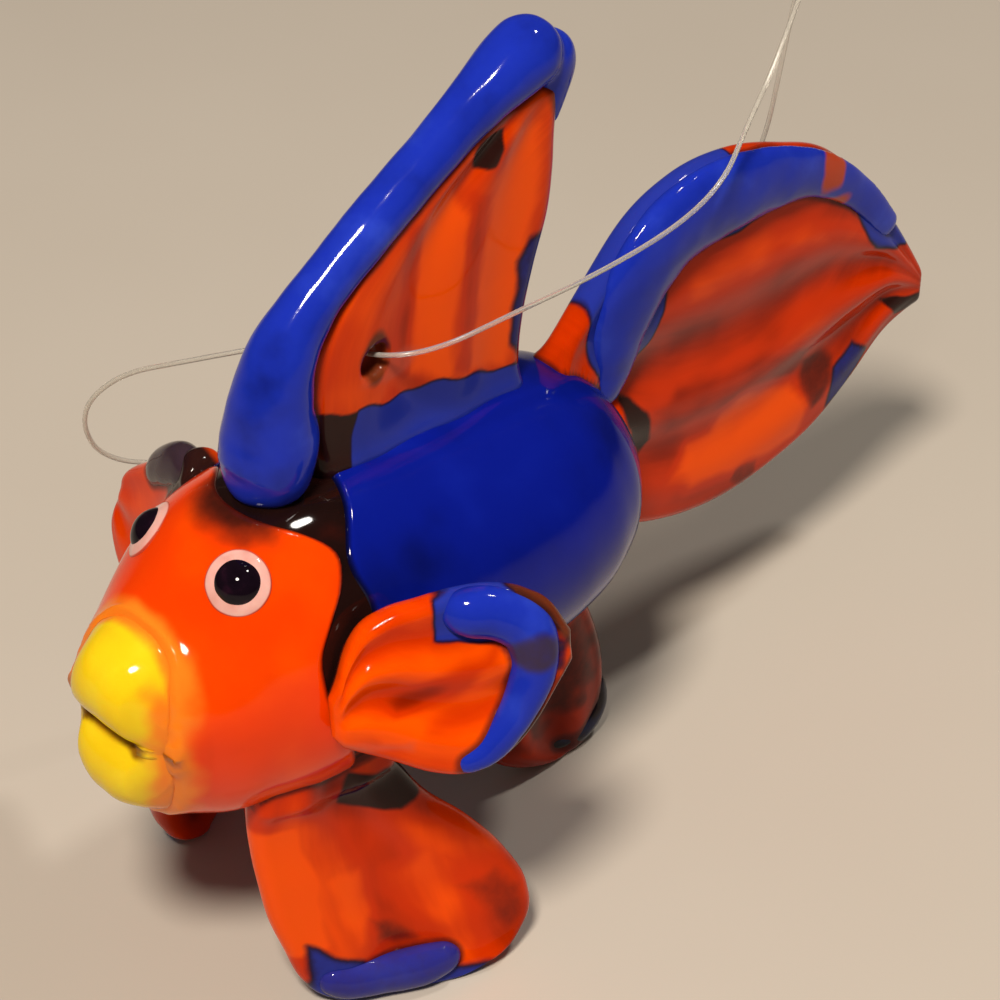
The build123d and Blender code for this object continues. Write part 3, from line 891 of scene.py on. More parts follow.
@dataclass
class Gather:
    """The barrel of hot glass inside head and body, and its orange and cobalt casings.

    The sizes repeat those of the part.

    Attributes:
        nose, axis: the nose's Y and the axis's height.
        length, radius: of the barrel.
        band_sink: how far the bare glass lies below the casings.
        overlap: how much deeper than it the casings' rims end.
        casing_wall: thickness of the casings.
        eye_setback, eye_turns: where the eyes sit, as a share along and as the left's and the right's
            degrees from the top.
        around: points round it.
        rows: along the length, half width, rise over the axis, drop below it, narrowing towards the top.
        gill, front: the head casing's rear line and the body casing's front line in side view.
    """

    nose: float = -43.45
    axis: float = 30.4
    length: float = 49.0
    radius: float = 11.9
    band_sink: float = 0.35
    overlap: float = 0.15
    casing_wall: float = 1.6
    eye_setback: float = 0.177
    eye_turns: tuple[float, float] = (27.5, 38.0)
    around: int = 144
    rows: Rows = (
        (0.035, 0.42, 0.34, 0.66, 0.0), (0.048, 0.52, 0.44, 0.79, 0.0), (0.072, 0.61, 0.54, 0.88, 0.0),
        (0.11, 0.72, 0.71, 0.95, 0.06), (0.17, 0.83, 0.97, 1.0, 0.05), (0.24, 0.93, 1.1, 1.03, 0.05),
        (0.32, 0.98, 1.13, 1.04, 0.05), (0.42, 1.0, 1.08, 1.03, 0.05), (0.54, 1.0, 1.02, 1.01, 0.03),
        (0.66, 1.0, 0.98, 1.0, 0.0), (0.77, 0.97, 0.94, 0.98, 0.0), (0.86, 0.87, 0.84, 0.89, 0.0),
        (0.93, 0.69, 0.67, 0.7, 0.0), (0.975, 0.44, 0.42, 0.44, 0.0), (1.0, 0.14, 0.13, 0.14, 0.0),
    )
    gill: Rows = (
        (0.18, 1.5), (0.228, 1.14), (0.294, 1.02), (0.325, 0.91), (0.31, 0.76), (0.273, 0.61),
        (0.243, 0.45), (0.235, 0.25), (0.249, -0.04), (0.282, -0.42), (0.327, -0.92), (0.35, -1.4),
    )
    front: Rows = (
        (0.5, 1.5), (0.4, 1.08), (0.338, 0.88), (0.335, 0.6), (0.336, 0.26), (0.343, -0.08), (0.359, -0.6),
        (0.376, -1.0), (0.39, -1.4),
    )

    def row(self, along: np.ndarray) -> np.ndarray:
        """The form's shares at places along it."""
        table = np.array(self.rows)
        return through(table[:, 0], table[:, 1:], np.clip(along, table[0, 0], table[-1, 0]))

    def surface(self, along: np.ndarray, turn: np.ndarray, inset: np.ndarray | float = 0.0) -> np.ndarray:
        """Points on the gather.

        Args:
            along: places along the length, as shares.
            turn: angles from the top towards +X.
            inset: how far below the surface.

        Returns:
            Points by three.
        """
        along, turn, inset = np.broadcast_arrays(along, turn, inset)
        shape = along.shape
        along, turn, inset = along.ravel(), turn.ravel(), inset.ravel()
        width, rise, drop, narrowing = self.row(along).T
        reach = np.where(np.cos(turn) > 0, rise, drop) * self.radius - inset
        side = width * self.radius - inset
        points = np.stack(
            [
                side * np.sin(turn) * (1 - narrowing * np.cos(turn)),
                self.nose + along * self.length,
                self.axis + reach * np.cos(turn),
            ],
            -1,
        )
        return points.reshape(*shape, 3)

    def over(self, points: np.ndarray) -> np.ndarray:
        """Height of points over the gather's surface, roughly, in millimetres."""
        along = (points[:, 1] - self.nose) / self.length
        inside = np.clip(along, self.rows[0][0], self.rows[-1][0])
        width, rise, drop, _ = self.row(inside).T
        high = points[:, 2] - self.axis
        reach = np.where(high > 0, rise, drop) * self.radius
        turn = np.arctan2(points[:, 0] / (width * self.radius), high / reach)
        here = self.surface(inside, turn)
        away = np.hypot(points[:, 0], high) - np.hypot(here[:, 0], here[:, 2] - self.axis)
        past = np.abs(along - inside) * self.length
        return np.where(past > 0, np.hypot(np.maximum(away, 0), past), away)

    def line(
        self, shares: Rows, turn: np.ndarray, between: tuple[float, float] = (0.1, 0.62), halvings: int = 40,
    ) -> np.ndarray:
        """Where a line drawn in side view crosses the gather at each angle.

        Args:
            shares: the line, as shares along and heights in radii.
            turn: angles from the top.
            between: the shares along that it lies between.
            halvings: how often the stretch that holds it is halved.

        Returns:
            A share along for each angle.
        """
        table = np.array(shares)[::-1]
        low, high = (np.full(len(turn), end) for end in between)
        for _ in range(halvings):
            mid = (low + high) / 2
            heights = (self.surface(mid, turn)[:, 2] - self.axis) / self.radius
            past = mid > through(table[:, 1], table[:, :1], heights)[:, 0]
            high, low = np.where(past, mid, high), np.where(past, low, mid)
        return (low + high) / 2

    def casing(self, name: str, head: bool, sag: float = 0.8) -> Mesh:
        """Make the head's or the body's coloured casing as a closed shell with a round edge.

        Args:
            name: the mesh's name.
            head: True for the head's casing, False for the body's.
            sag: how far from its edge the casing rounds down to the gather.

        Returns:
            The mesh.
        """
        turn = np.linspace(0, 2 * np.pi, self.around, endpoint=False)
        edge = self.line(self.gill if head else self.front, turn)
        start = self.rows[0][0] if head else self.rows[-1][0]
        # rows crowd towards the far end, and again in the last stretch, which rounds the rim
        stretch, spread = 0.93, np.linspace(0, 1, 96) ** (0.8 if head else 0.6)
        reach = np.concatenate([stretch * spread, np.linspace(stretch + 0.005, 1, 22)])
        along = start + (edge - start)[None, :] * reach[:, None]
        rim = np.abs(edge[None, :] - along) * self.length
        drop = (self.band_sink + self.overlap) * (1 - np.sqrt(1 - np.clip(1 - rim / sag, 0, 1) ** 2))
        outer = self.surface(along, turn[None, :], drop)
        inner = self.surface(along[::-4], turn[None, :], self.casing_wall)
        return loft(
            name, np.concatenate([outer, inner]), {Stain.SEAM.value: np.concatenate([rim, rim[::-4]])},
        )

    def clear(self, name: str, stations: int = 160) -> Mesh:
        """Make the smoky gather under the casings, bare between them."""
        turn = np.linspace(0, 2 * np.pi, self.around, endpoint=False)
        along = np.linspace(self.rows[0][0], self.rows[-1][0], stations)
        return loft(name, self.surface(along[:, None], turn[None, :], self.band_sink))

    def eye_plane(self, side: Side, step: float = 0.01) -> Matrix:
        """The plane on the head where an eye sits, with its third axis pointing out."""
        setback, turn = self.eye_setback, side.value * math.radians(self.eye_turns[side is Side.RIGHT])
        here, ahead, behind, right, left = self.surface(
            np.array([setback, setback + step, setback - step, setback, setback]),
            np.array([turn, turn, turn, turn + step, turn - step]),
        )
        first = unit(ahead - behind)
        out = unit(np.cross(right - left, ahead - behind))
        if out[2] < 0:
            out = -out
        second = np.cross(out, first)
        return Matrix([[*row, at] for row, at in zip(np.stack([first, second, out], 1), here)])


def pressed_bead(
    name: str, plane: Matrix, radius: float, proud: float, depth: float, seed: float, around: int = 72,
) -> Mesh:
    """A bead pressed on a plane, domed in front and a little out of round.

    Args:
        name: the mesh's name.
        plane: three rows of three axes and the centre.
        radius: its radius.
        proud: the height of its dome.
        depth: how far it goes in.
        seed: moves its unevenness.
        around: points round it.

    Returns:
        The mesh, with each point's share of the radius as a field.
    """
    axes = np.array(plane)
    turn = np.linspace(0, 2 * np.pi, around, endpoint=False)
    out = np.sin(np.linspace(0.02, 1, 20) * np.pi / 2)
    # a flat dome, then the seat that goes into the head
    profile = [(r, proud * (1 - r * r) ** 0.8) for r in out] + [(0.97, -0.3 * depth), (0.75, -depth)]
    uneven = 1 + 0.025 * ripple(np.stack([np.cos(turn), np.sin(turn), 0 * turn], 1), 0.6, seed)
    rings = np.array(
        [[(radius * r * u * math.cos(t), radius * r * u * math.sin(t), z) for t, u in zip(turn, uneven)]
         for r, z in profile]
    )
    placed = rings @ axes[:, :3].T + axes[:, 3]
    return loft(name, placed, {"reach": np.array([[r] * len(turn) for r, _ in profile])})


@dataclass
class Bead:
    """A drawn bead of glass along a path of table points.

    Attributes:
        path: points in millimetres.
        radii: half widths there.
        face: the direction in which it is flattened.
        flatness: thickness over width.
        unevenness: how far its surface wanders.
        around: points in its section.
        step: from one ring to the next.
        end_rings: rings in each round end.
    """

    path: np.ndarray
    radii: np.ndarray
    face: np.ndarray
    flatness: float = 1.0
    unevenness: float = 0.12
    around: int = 48
    step: float = 0.45
    end_rings: int = 14

    def line(self) -> tuple[np.ndarray, np.ndarray]:
        """Dense points and half widths along the bead, with round ends."""
        path, radii = np.asarray(self.path, float), np.asarray(self.radii, float)
        marks = np.concatenate([[0], np.cumsum(np.linalg.norm(np.diff(path, axis=0), axis=1))])
        dense = np.linspace(0, marks[-1], 600)
        fine = through(marks, np.column_stack([path, radii]), dense)
        gone = np.concatenate([[0], np.cumsum(np.linalg.norm(np.diff(fine[:, :3], axis=0), axis=1))])
        total, first, last = gone[-1], radii[0], radii[-1]
        quarter = 1 - np.cos(np.linspace(ROUND_START, 1, self.end_rings) * np.pi / 2)
        middle = np.linspace(first, total - last, max(12, int((total - first - last) / self.step)))[1:-1]
        stops = np.concatenate([first * quarter, middle, total - last * quarter[::-1]])
        rows = np.stack([np.interp(stops, gone, fine[:, k]) for k in range(4)], 1)
        width = rows[:, 3].copy()
        head, foot = stops < first, total - stops < last
        width[head] *= np.sqrt(1 - (1 - stops[head] / first) ** 2)
        width[foot] *= np.sqrt(1 - (1 - (total - stops[foot]) / last) ** 2)
        return rows[:, :3], width

    def mesh(self, name: str, swept: SweptTree, finish: Material) -> Mesh:
        """Draw the bead."""
        points, widths = self.line()
        return swept.sweep(name, [points], [widths], self.face, self.flatness, self.around, finish)


@dataclass
class Web:
    """A fin's pleated web through rows of front point, rear point, face direction and cup.

    Attributes:
        fronts, rears: a row of points each.
        faces: the direction that it faces, in all or in each row.
        thickness: of the glass.
        flute_depth: how deep the pleats are pressed.
        flutes: how many half waves lie across it.
        cups: how deep it is cupped, in all or in each row.
        flare: how much each side thickens where the web meets the body.
        flare_reach: how far from the body that fades.
        foot: True for a foot, which is pressed flat on the bench.
        round_root: True where the web's root stands free and is as round as its tip.
        across: points across the web.
        row_step: from one row of points to the next.
        end_rows: rows in a round end.
        root_fade, tip_fade: the shares of its length in which the pleats begin and end.
    """

    fronts: np.ndarray
    rears: np.ndarray
    faces: np.ndarray
    thickness: float
    flute_depth: float
    flutes: int
    cups: float | np.ndarray = 0.0
    flare: float = 0.7
    flare_reach: float = 0.9
    foot: bool = False
    round_root: bool = False
    across: int = 84
    row_step: float = 0.35
    end_rows: int = 12
    root_fade: float = 0.16
    tip_fade: float = 0.2

    def mesh(self, name: str, gather: Gather) -> Mesh:
        """Build the web as a closed mesh with its pleat fields.

        Args:
            name: the mesh's name.
            gather: the barrel that it grows from.

        Returns:
            The mesh.
        """
        half = self.thickness / 2
        faces = np.broadcast_to(self.faces, self.fronts.shape)
        cups = np.broadcast_to(self.cups, len(self.fronts))
        table = np.column_stack([self.fronts, self.rears, faces, cups])
        middles = (table[:, :3] + table[:, 3:6]) / 2
        marks = np.concatenate([[0], np.cumsum(np.linalg.norm(np.diff(middles, axis=0), axis=1))])
        total = marks[-1]
        quarter = half * np.sin(np.linspace(ROUND_START, 1, self.end_rows) * np.pi / 2)
        first = half if self.round_root else 0.0
        stops = np.concatenate([
            half - quarter[:0:-1] if self.round_root else [],
            np.linspace(first, total - half, max(20, int((total - half) / self.row_step))),
            total - half + quarter,
        ])
        rings, pleat, lay_x, lay_y = [], [], [], []
        for stop, row in zip(stops, through(marks, table, stops)):
            front, rear, face, cup = row[:3], row[3:6], unit(row[6:9]), row[9]
            taper = math.sqrt(max(0.0, 1 - (1 - min(1.0, (total - stop) / half)) ** 2))
            if self.round_root:
                taper *= math.sqrt(max(0.0, 1 - (1 - min(1.0, stop / half)) ** 2))
            taper = max(0.02, taper)
            chord = np.linalg.norm(rear - front)
            share, rise, wave = self.section(chord, taper, stop / total)
            bulge = 4 * share * (1 - share)
            wave = wave * smoothstep(0.0, self.root_fade, stop / total)
            wave = wave * smoothstep(0.0, self.tip_fade, 1 - stop / total)
            middle = cup * bulge + self.flute_depth * bulge * wave
            at = front + (rear - front) * share[:, None] + face * middle[:, None]
            # the flats, not the rounded edges, thicken towards the body
            near = np.exp(-np.maximum(gather.over(at), 0) / self.flare_reach)
            swell = self.flare * near * (np.abs(rise) > 0.3)
            rings.append(at + face * ((np.abs(rise) * half * taper + swell) * np.sign(rise))[:, None])
            pleat.append(wave * np.sign(rise) * np.minimum(1.0, bulge * 1.5))
            lay_x.append(share * chord)
            lay_y.append(np.full(len(share), stop))
        points = np.array(rings)
        if self.foot:
            points[..., 2] = np.maximum(points[..., 2], 0.0)
        return loft(
            name, points, {"pleat": np.array(pleat), "lay_x": np.array(lay_x), "lay_y": np.array(lay_y)},
        )

    def section(self, chord: float, taper: float, along: float) -> tuple[np.ndarray, np.ndarray, np.ndarray]:
        """One cross-section of the web.

        Args:
            chord: its width.
            taper: its thickness as a share of the full one.
            along: how far it lies from root to tip, as a share.

        Returns:
            Shares from front to rear, signed half thicknesses from -1 to 1, and pleat waves.
        """
        edge = min(0.3, self.thickness * taper / 2 / chord)
        quarter = np.linspace(0, 1, 8)[1:] * np.pi / 2
        middle = np.linspace(edge, 1 - edge, self.across)[1:-1]
        share = np.concatenate([
            [0], edge * (1 - np.cos(quarter)), middle, 1 - edge * (1 - np.cos(quarter[::-1])), [1],
        ])
        rise = np.concatenate([[0], np.sin(quarter), np.ones(len(middle)), np.sin(quarter[::-1]), [0]])
        inner = np.clip((share - edge) / (1 - 2 * edge), 0, 1)
        # the pleats sway a little from root to tip, as tongs leave them
        inner = inner + 0.07 * math.sin(5.0 * along + self.flutes) * 4 * inner * (1 - inner)
        wave = np.sin(np.pi * self.flutes * inner)
        share, wave = (np.concatenate([side, side[-2:0:-1]]) for side in (share, wave))
        return share, np.concatenate([rise, -rise[-2:0:-1]]), wave


def pierce(
    mesh: Mesh, centre: Triple, radius: float, rim: float = 0.35,
    rings: int = 7,
) -> None:
    """Open a round hole with a rolled rim through a web that lies across X.

    Args:
        mesh: the web.
        centre: the hole's centre in millimetres.
        radius: the hole's radius.
        rim: how wide the rolled rim is.
        rings: points across the hole's wall.
    """
    middle, wide = Vector(centre) * MM, (radius + rim) * MM
    reach, kept = 2.6 * wide, 0.85 * wide

    def spread(vert: BMVert, new: float) -> None:
        """Move a vertex to a new distance from the hole's axis."""
        scale = new / max(math.hypot(vert.co.y - middle.y, vert.co.z - middle.z), 1e-9)
        vert.co.y = middle.y + (vert.co.y - middle.y) * scale
        vert.co.z = middle.z + (vert.co.z - middle.z) * scale

    with editing(mesh) as work:
        away = {v: math.hypot(v.co.y - middle.y, v.co.z - middle.z) for v in work.verts}
        gone = [f for f in work.faces if any(away[v] < 0.7 * wide for v in f.verts)]
        bmesh.ops.delete(work, geom=gone, context="FACES")
        edges = [e for e in work.edges if e.is_boundary and away[e.verts[0]] < 2 * wide]
        ring = {v for e in edges for v in e.verts}
        # the ragged edge becomes a circle, and the faces round it share the push
        for vert in work.verts:
            if vert in ring:
                spread(vert, wide)
            elif away.get(vert, reach) < reach:
                spread(vert, wide + (reach - wide) * max(0.0, away[vert] - kept) / (reach - kept))
        wall = set(bmesh.ops.bridge_loops(work, edges=edges)["faces"])
        spokes = [e for e in {e for f in wall for e in f.edges} if all(f in wall for f in e.link_faces)]
        cut = bmesh.ops.subdivide_edges(work, edges=spokes, cuts=rings)
        inner = {v for v in cut["geom_inner"] if isinstance(v, BMVert)}
        # the outermost of these rings lies three quarters of the way to the web's faces
        span = max((abs(v.co.x) for v in inner), default=1.0) / 0.75
        for vert in inner:
            spread(vert, (radius + rim * abs(vert.co.x / span) ** 3) * MM)
        face_outwards(work)


def bead_on(sheet: Sheet, rows: Rows, half_width: float, proud: float = 0.0, **form: float) -> Bead:
    """A bead on a fin's sheet.

    Args:
        sheet: the sheet.
        rows: of along, height and share of the half width.
        half_width: where that share is one.
        proud: how far the bead's middle stands off the sheet.
        **form: the bead's other sizes.

    Returns:
        The bead.
    """
    path = sheet.line(((along, high) for along, high, _ in rows), proud)
    return Bead(path, half_width * np.array(rows)[:, 2], sheet.out, **form)


@dataclass
class Fin:
    """A fin: its pleated web, the bead or beads on it, the runs of other glass in it, and its painted light
    and shade.

    Attributes:
        name: the fin's name, as in the part's nodes.
        web: the web.
        beads: beads that make one piece.
        sheet: the plane that its patches are drawn in.
        patches: areas of the web under a run of other glass.
        spots: soft spots of the same; on the fins that lie in shade and at the thread hole, spots of painted
            shade.
        light: areas of the web with a painted highlight, or painted shade where the strength is below 0.
        bead_smoke, bead_amber: spots on the bead, of smoky and amber glass; on the right pectoral the smoke
            spot is painted shade.
        bead_tint: "blue" or "dark".
        tone: the web's middle tone; set low on the tail and on the feet that lie in shade, as painted shade.
        pleat_tone: how much brighter the crests of the pleats are than the grooves: thicker pigment in the
            grooves, and painted highlight and shade.
        ridge_haze: how much paler the sharp crests are, as a painted highlight.
        hole: centre and radius of the thread's hole.
    """

    name: str
    web: Web
    beads: tuple[Bead, ...]
    sheet: Sheet | None = None
    patches: dict[Stain, tuple[Patch, ...]] = field(default_factory=dict)
    spots: dict[Stain, tuple[Spot, ...]] = field(default_factory=dict)
    light: tuple[Patch | Spot, ...] = ()
    bead_smoke: tuple[Spot, ...] = ()
    bead_amber: tuple[Spot, ...] = ()
    bead_tint: str = "blue"
    tone: float = 0.55
    pleat_tone: float = 0.16
    ridge_haze: float = 0.0
    hole: tuple[Triple, float] | None = None

    def build(self, shop: Workshop, swept: SweptTree, gather: Gather) -> None:
        """Make, paint and place the fin's pieces."""
        bead_glass = COBALT_BEAD if self.bead_tint == "blue" else DARK_BEAD
        web = self.web.mesh(self.name + "_pleated_web", gather)
        if self.hole:
            pierce(web, *self.hole)
        paths, widths = zip(*(bead.line() for bead in self.beads))
        first = self.beads[0]
        bead = swept.sweep(
            self.name + "_drawn_edge", paths, widths, first.face, first.flatness, first.around,
            shop.finish_of(bead_glass),
        )
        melt(bead)
        self.settle(bead, first.unevenness)
        if self.web.foot:
            low = mesh_points(bead)
            low[:, 2] = np.maximum(low[:, 2], 0.0)
            set_points(bead, low)
        self.paint_web(web, bead, gather)
        self.paint_bead(bead, web, gather)
        node = self.name + "_" + self.bead_tint + "_edge"
        shop.place(web.name, web, STREAKED_WEB, "streaked_orange_glass", self.name + "_web")
        slot = "cobalt_glass" if self.bead_tint == "blue" else "dark_glass"
        shop.place(bead.name, bead, bead_glass, slot, node)

    def settle(self, mesh: Mesh, amount: float) -> None:
        """Let a bead's surface wander a little, as hand-drawn glass does."""
        points, normals = mesh_points(mesh), mesh_normals(mesh)
        wander = ripple(points, 4.5, 3.1) + 0.4 * ripple(points, 1.8, 7.7)
        set_points(mesh, points + normals * (amount * wander)[:, None])

    def paint_web(self, web: Mesh, bead: Mesh, gather: Gather) -> None:
        """Store the web's fields: tone from its pleats, seams, and runs of other glass."""
        points = mesh_points(web)
        pleat = read_field(web, "pleat")
        over = gather.over(points)
        gap = distance_to(points, bead)
        # crests lighter and grooves darker: thicker pigment in the grooves, and partly painted highlight and
        # shade
        tone = self.tone + self.pleat_tone * pleat
        tone += 0.14 * ripple(points, 5.0, 1.3) + 0.06 * ripple(points, 2.2, 4.1)
        # painted highlights, and painted shade where the strength is below 0
        for area in self.light:
            tone += area.cover(points, self.sheet) if isinstance(area, Patch) else area.cover(points)
        set_field(web, Stain.TONE.value, tone)
        seam = 0.75 * (1 - smoothstep(0.0, 0.8, gap))
        for stain in (Stain.BLUE, Stain.SMOKE, Stain.HAZE, Stain.AMBER):
            cover = spotted(points, self.spots.get(stain, ()))
            for patch in self.patches.get(stain, ()):
                cover = np.maximum(cover, patch.cover(points, self.sheet))
            # a painted highlight pales the sharp crests of the pleats
            if stain is Stain.HAZE and self.ridge_haze:
                cover = np.maximum(cover, self.ridge_haze * smoothstep(0.8, 1.0, pleat))
            if stain is Stain.BLUE:
                bare = 1 - smoothstep(0.2, 0.7, cover)
            set_field(web, stain.value, cover)
        foot = 0.8 * (1 - smoothstep(0.0, 0.6, over)) * (0.25 + 0.75 * bare)
        set_field(web, Stain.SEAM.value, np.maximum(seam * bare, foot))
        lay = np.column_stack([read_field(web, "lay_x"), read_field(web, "lay_y"), 0 * points[:, 0]]) * MM
        layer = web.attributes.new("lay", "FLOAT_VECTOR", "POINT")
        layer.data.foreach_set("vector", lay.astype(np.float32).ravel())

    def paint_bead(self, bead: Mesh, web: Mesh, gather: Gather) -> None:
        """Store the bead's fields."""
        points = mesh_points(bead)
        gap = distance_to(points, web)
        over = gather.over(points)
        tone = 0.5 + 0.22 * ripple(points, 4.0, 2.2)
        set_field(bead, Stain.TONE.value, tone)
        seam = np.maximum(0.3 * (1 - smoothstep(0.0, 0.35, gap)), 0.7 * (1 - smoothstep(0.0, 0.4, over)))
        set_field(bead, Stain.SEAM.value, seam)
        # smoky glass on the bead; on the right pectoral, painted shade over the whole bead
        set_field(bead, Stain.SMOKE.value, spotted(points, self.bead_smoke))
        set_field(bead, Stain.AMBER.value, spotted(points, self.bead_amber))
        set_field(bead, Stain.BLUE.value, 0.5 + 0.5 * ripple(points, 2.0, 0.4))


@dataclass
class FinSet:
    """The seven fins, from the part's own tables of shares.

    Attributes:
        gather: the barrel that they grow from.
    """

    gather: Gather

    def upright(self, setback: float, seat: float, length: float, height: float) -> Sheet:
        """The sheet of a fin in the fish's middle plane."""
        origin = np.array([0.0, self.gather.nose + setback, self.gather.axis + seat])
        return Sheet(origin, *np.eye(3)[[1, 2, 0]], length, height)

    def dorsal(self) -> Fin:
        """The tall swept fin with the thread hole and the folded tip."""
        sheet = self.upright(setback=16.0, seat=10.0, length=30.0, height=30.0)
        shares = (
            (-0.04, 0.11, 0.785), (0.1, 0.08, 0.78), (0.233, 0.067, 0.797), (0.367, 0.083, 0.833),
            (0.5, 0.145, 0.877), (0.617, 0.26, 0.893), (0.717, 0.395, 0.897), (0.8, 0.55, 0.905),
            (0.867, 0.68, 0.915),
        )
        bead = (
            (-0.092, 0.08, 0.86), (-0.036, 0.15, 0.95), (-0.01, 0.225, 1.0), (0.003, 0.335, 0.84),
            (0.036, 0.44, 0.73), (0.12, 0.538, 0.58), (0.29, 0.66, 0.54), (0.46, 0.76, 0.54),
            (0.633, 0.857, 0.58), (0.83, 0.943, 0.76), (0.905, 0.958, 0.74),
        )
        fold = ((0.86, 0.965, 0.9), (0.89, 0.9, 1.0), (0.885, 0.8, 0.75), (0.88, 0.715, 0.4))
        web = Web(
            sheet.line((a, high) for high, a, _ in shares), sheet.line((b, high) for high, _, b in shares),
            sheet.out, thickness=3.2, flute_depth=0.28, flutes=4, flare=0.5,
        )
        patches = {
            Stain.BLUE: (
                Patch((
                    (0.717, 0.164), (0.734, 0.293), (0.744, 0.402), (0.784, 0.46), (0.862, 0.456),
                    (0.865, 0.229), (0.815, 0.021),
                ), strength=0.62),
                Patch((
                    (0.217, 0.227), (0.344, 0.197), (0.492, 0.181), (0.608, 0.137), (0.763, 0.089),
                    (0.904, -0.015), (0.907, -0.171), (0.454, -0.057), (0.16, 0.01),
                ), soft=0.45, wander=0.5),
            ),
            Stain.SMOKE: (
                Patch((
                    (0.603, 0.782), (0.629, 0.806), (0.668, 0.811), (0.703, 0.807), (0.697, 0.757),
                    (0.671, 0.713), (0.641, 0.712), (0.609, 0.734),
                ), strength=0.95, soft=0.4),
                Patch((
                    (0.103, 0.273), (0.233, 0.225), (0.269, 0.167), (0.193, 0.023), (0.037, 0.079),
                    (0.047, 0.27),
                ), soft=0.5, wander=0.5),
            ),
        }
        spots = {
            # the amber spot paints shade on the thread hole's wall and rim
            Stain.AMBER: (Spot((1.6, -19.0, 50.9), (3, 1.5, 2.2), wander=0.2),),
            Stain.HAZE: (Spot((1.6, -17.3, 49.3), (3, 3.2, 1.2), strength=0.7),),
        }
        # painted highlights and painted shade along the pleats
        light = (
            Patch((
                (0.401, 0.243), (0.419, 0.447), (0.462, 0.67), (0.532, 0.708), (0.57, 0.62), (0.534, 0.391),
                (0.512, 0.186),
            ), strength=0.28),
            Patch((
                (0.592, 0.158), (0.62, 0.349), (0.661, 0.621), (0.742, 0.782), (0.818, 0.763),
                (0.81, 0.553), (0.744, 0.318), (0.7, 0.121),
            ), strength=0.28, soft=0.8),
            Patch(
                ((0.388, 0.248), (0.436, 0.652), (0.399, 0.672), (0.35, 0.271)),
                strength=-0.26, soft=0.6,
            ),
            Patch(
                ((0.575, 0.17), (0.635, 0.645), (0.596, 0.666), (0.535, 0.194)),
                strength=-0.28, soft=0.6,
            ),
        )
        return Fin(
            "dorsal", web, (bead_on(sheet, bead, 3.6), bead_on(sheet, fold, 2.1)), sheet, patches, spots,
            light, tone=0.62, pleat_tone=0.04, hole=((0.0, -19.05, 50.6), 1.2),
        )

    def tail(self) -> Fin:
        """The fluted fan."""
        sheet = self.upright(setback=42.0, seat=-14.0, length=45.9, height=35.0)
        shares = (
            (0.0, 0.643, 0.4), (0.064, 0.743, 0.27), (0.129, 0.834, 0.16), (0.215, 0.94, 0.085),
            (0.322, 0.992, 0.025), (0.451, 0.985, -0.01), (0.59, 0.92, 0.0), (0.71, 0.835, 0.042),
            (0.8, 0.71, 0.115), (0.88, 0.575, 0.195), (0.945, 0.445, 0.222), (1.0, 0.325, 0.228),
        )
        bead = (
            (0.125, 0.5, 0.35), (0.155, 0.6, 0.6), (0.178, 0.705, 0.8), (0.218, 0.805, 0.95),
            (0.29, 0.875, 0.98), (0.39, 0.895, 0.95), (0.51, 0.875, 0.8), (0.64, 0.825, 0.55),
            (0.77, 0.7, 0.4), (0.885, 0.52, 0.3),
        )
        web = Web(
            sheet.line((a, low) for a, _, low in shares), sheet.line((a, top) for a, top, _ in shares),
            sheet.out, thickness=2.6, flute_depth=0.48, flutes=6, flare=0.6, across=120,
        )
        patches = {
            Stain.BLUE: (
                Patch((
                    (0.1, 0.62), (0.088, 0.7), (0.1, 0.79), (0.118, 0.86), (0.08, 0.95), (0.16, 1.1),
                    (0.3, 1.12), (0.42, 1.08), (0.44, 0.975), (0.52, 0.945), (0.61, 0.895), (0.68, 0.85),
                    (0.735, 0.775), (0.7, 0.75), (0.657, 0.792), (0.563, 0.785), (0.448, 0.775),
                    (0.33, 0.79), (0.28, 0.76), (0.266, 0.687), (0.236, 0.606), (0.187, 0.545),
                    (0.14, 0.525),
                ), soft=0.55),
                Patch((
                    (0.755, 0.72), (0.79, 0.59), (0.835, 0.5), (0.9, 0.455), (1.02, 0.44), (1.0, 0.6),
                    (0.88, 0.72), (0.79, 0.8),
                ), strength=0.85, soft=0.6),
                Patch((
                    (0.735, 0.208), (0.794, 0.258), (0.837, 0.202), (0.775, 0.104), (0.725, 0.082),
                ), strength=0.65, soft=0.5),
            ),
            Stain.SMOKE: (
                Patch((
                    (0.647, 0.294), (0.703, 0.293), (0.752, 0.238), (0.743, 0.181), (0.726, 0.12),
                    (0.682, 0.105), (0.651, 0.202),
                ), strength=0.62, soft=1.0, wander=0.6),
                Patch((
                    (0.463, 0.042), (0.48, 0.083), (0.539, 0.06), (0.548, 0.016), (0.5, -0.006),
                ), strength=0.55, soft=0.7, wander=0.6),
                Patch((
                    (0.153, 0.531), (0.198, 0.491), (0.244, 0.395), (0.257, 0.319), (0.229, 0.279),
                    (0.196, 0.369),
                ), strength=0.95, soft=0.6, wander=0.4),
                Patch(
                    ((0.872, 0.32), (0.987, 0.277), (0.999, 0.219), (0.91, 0.258)),
                    strength=0.9, soft=0.4,
                ),
            ),
        }
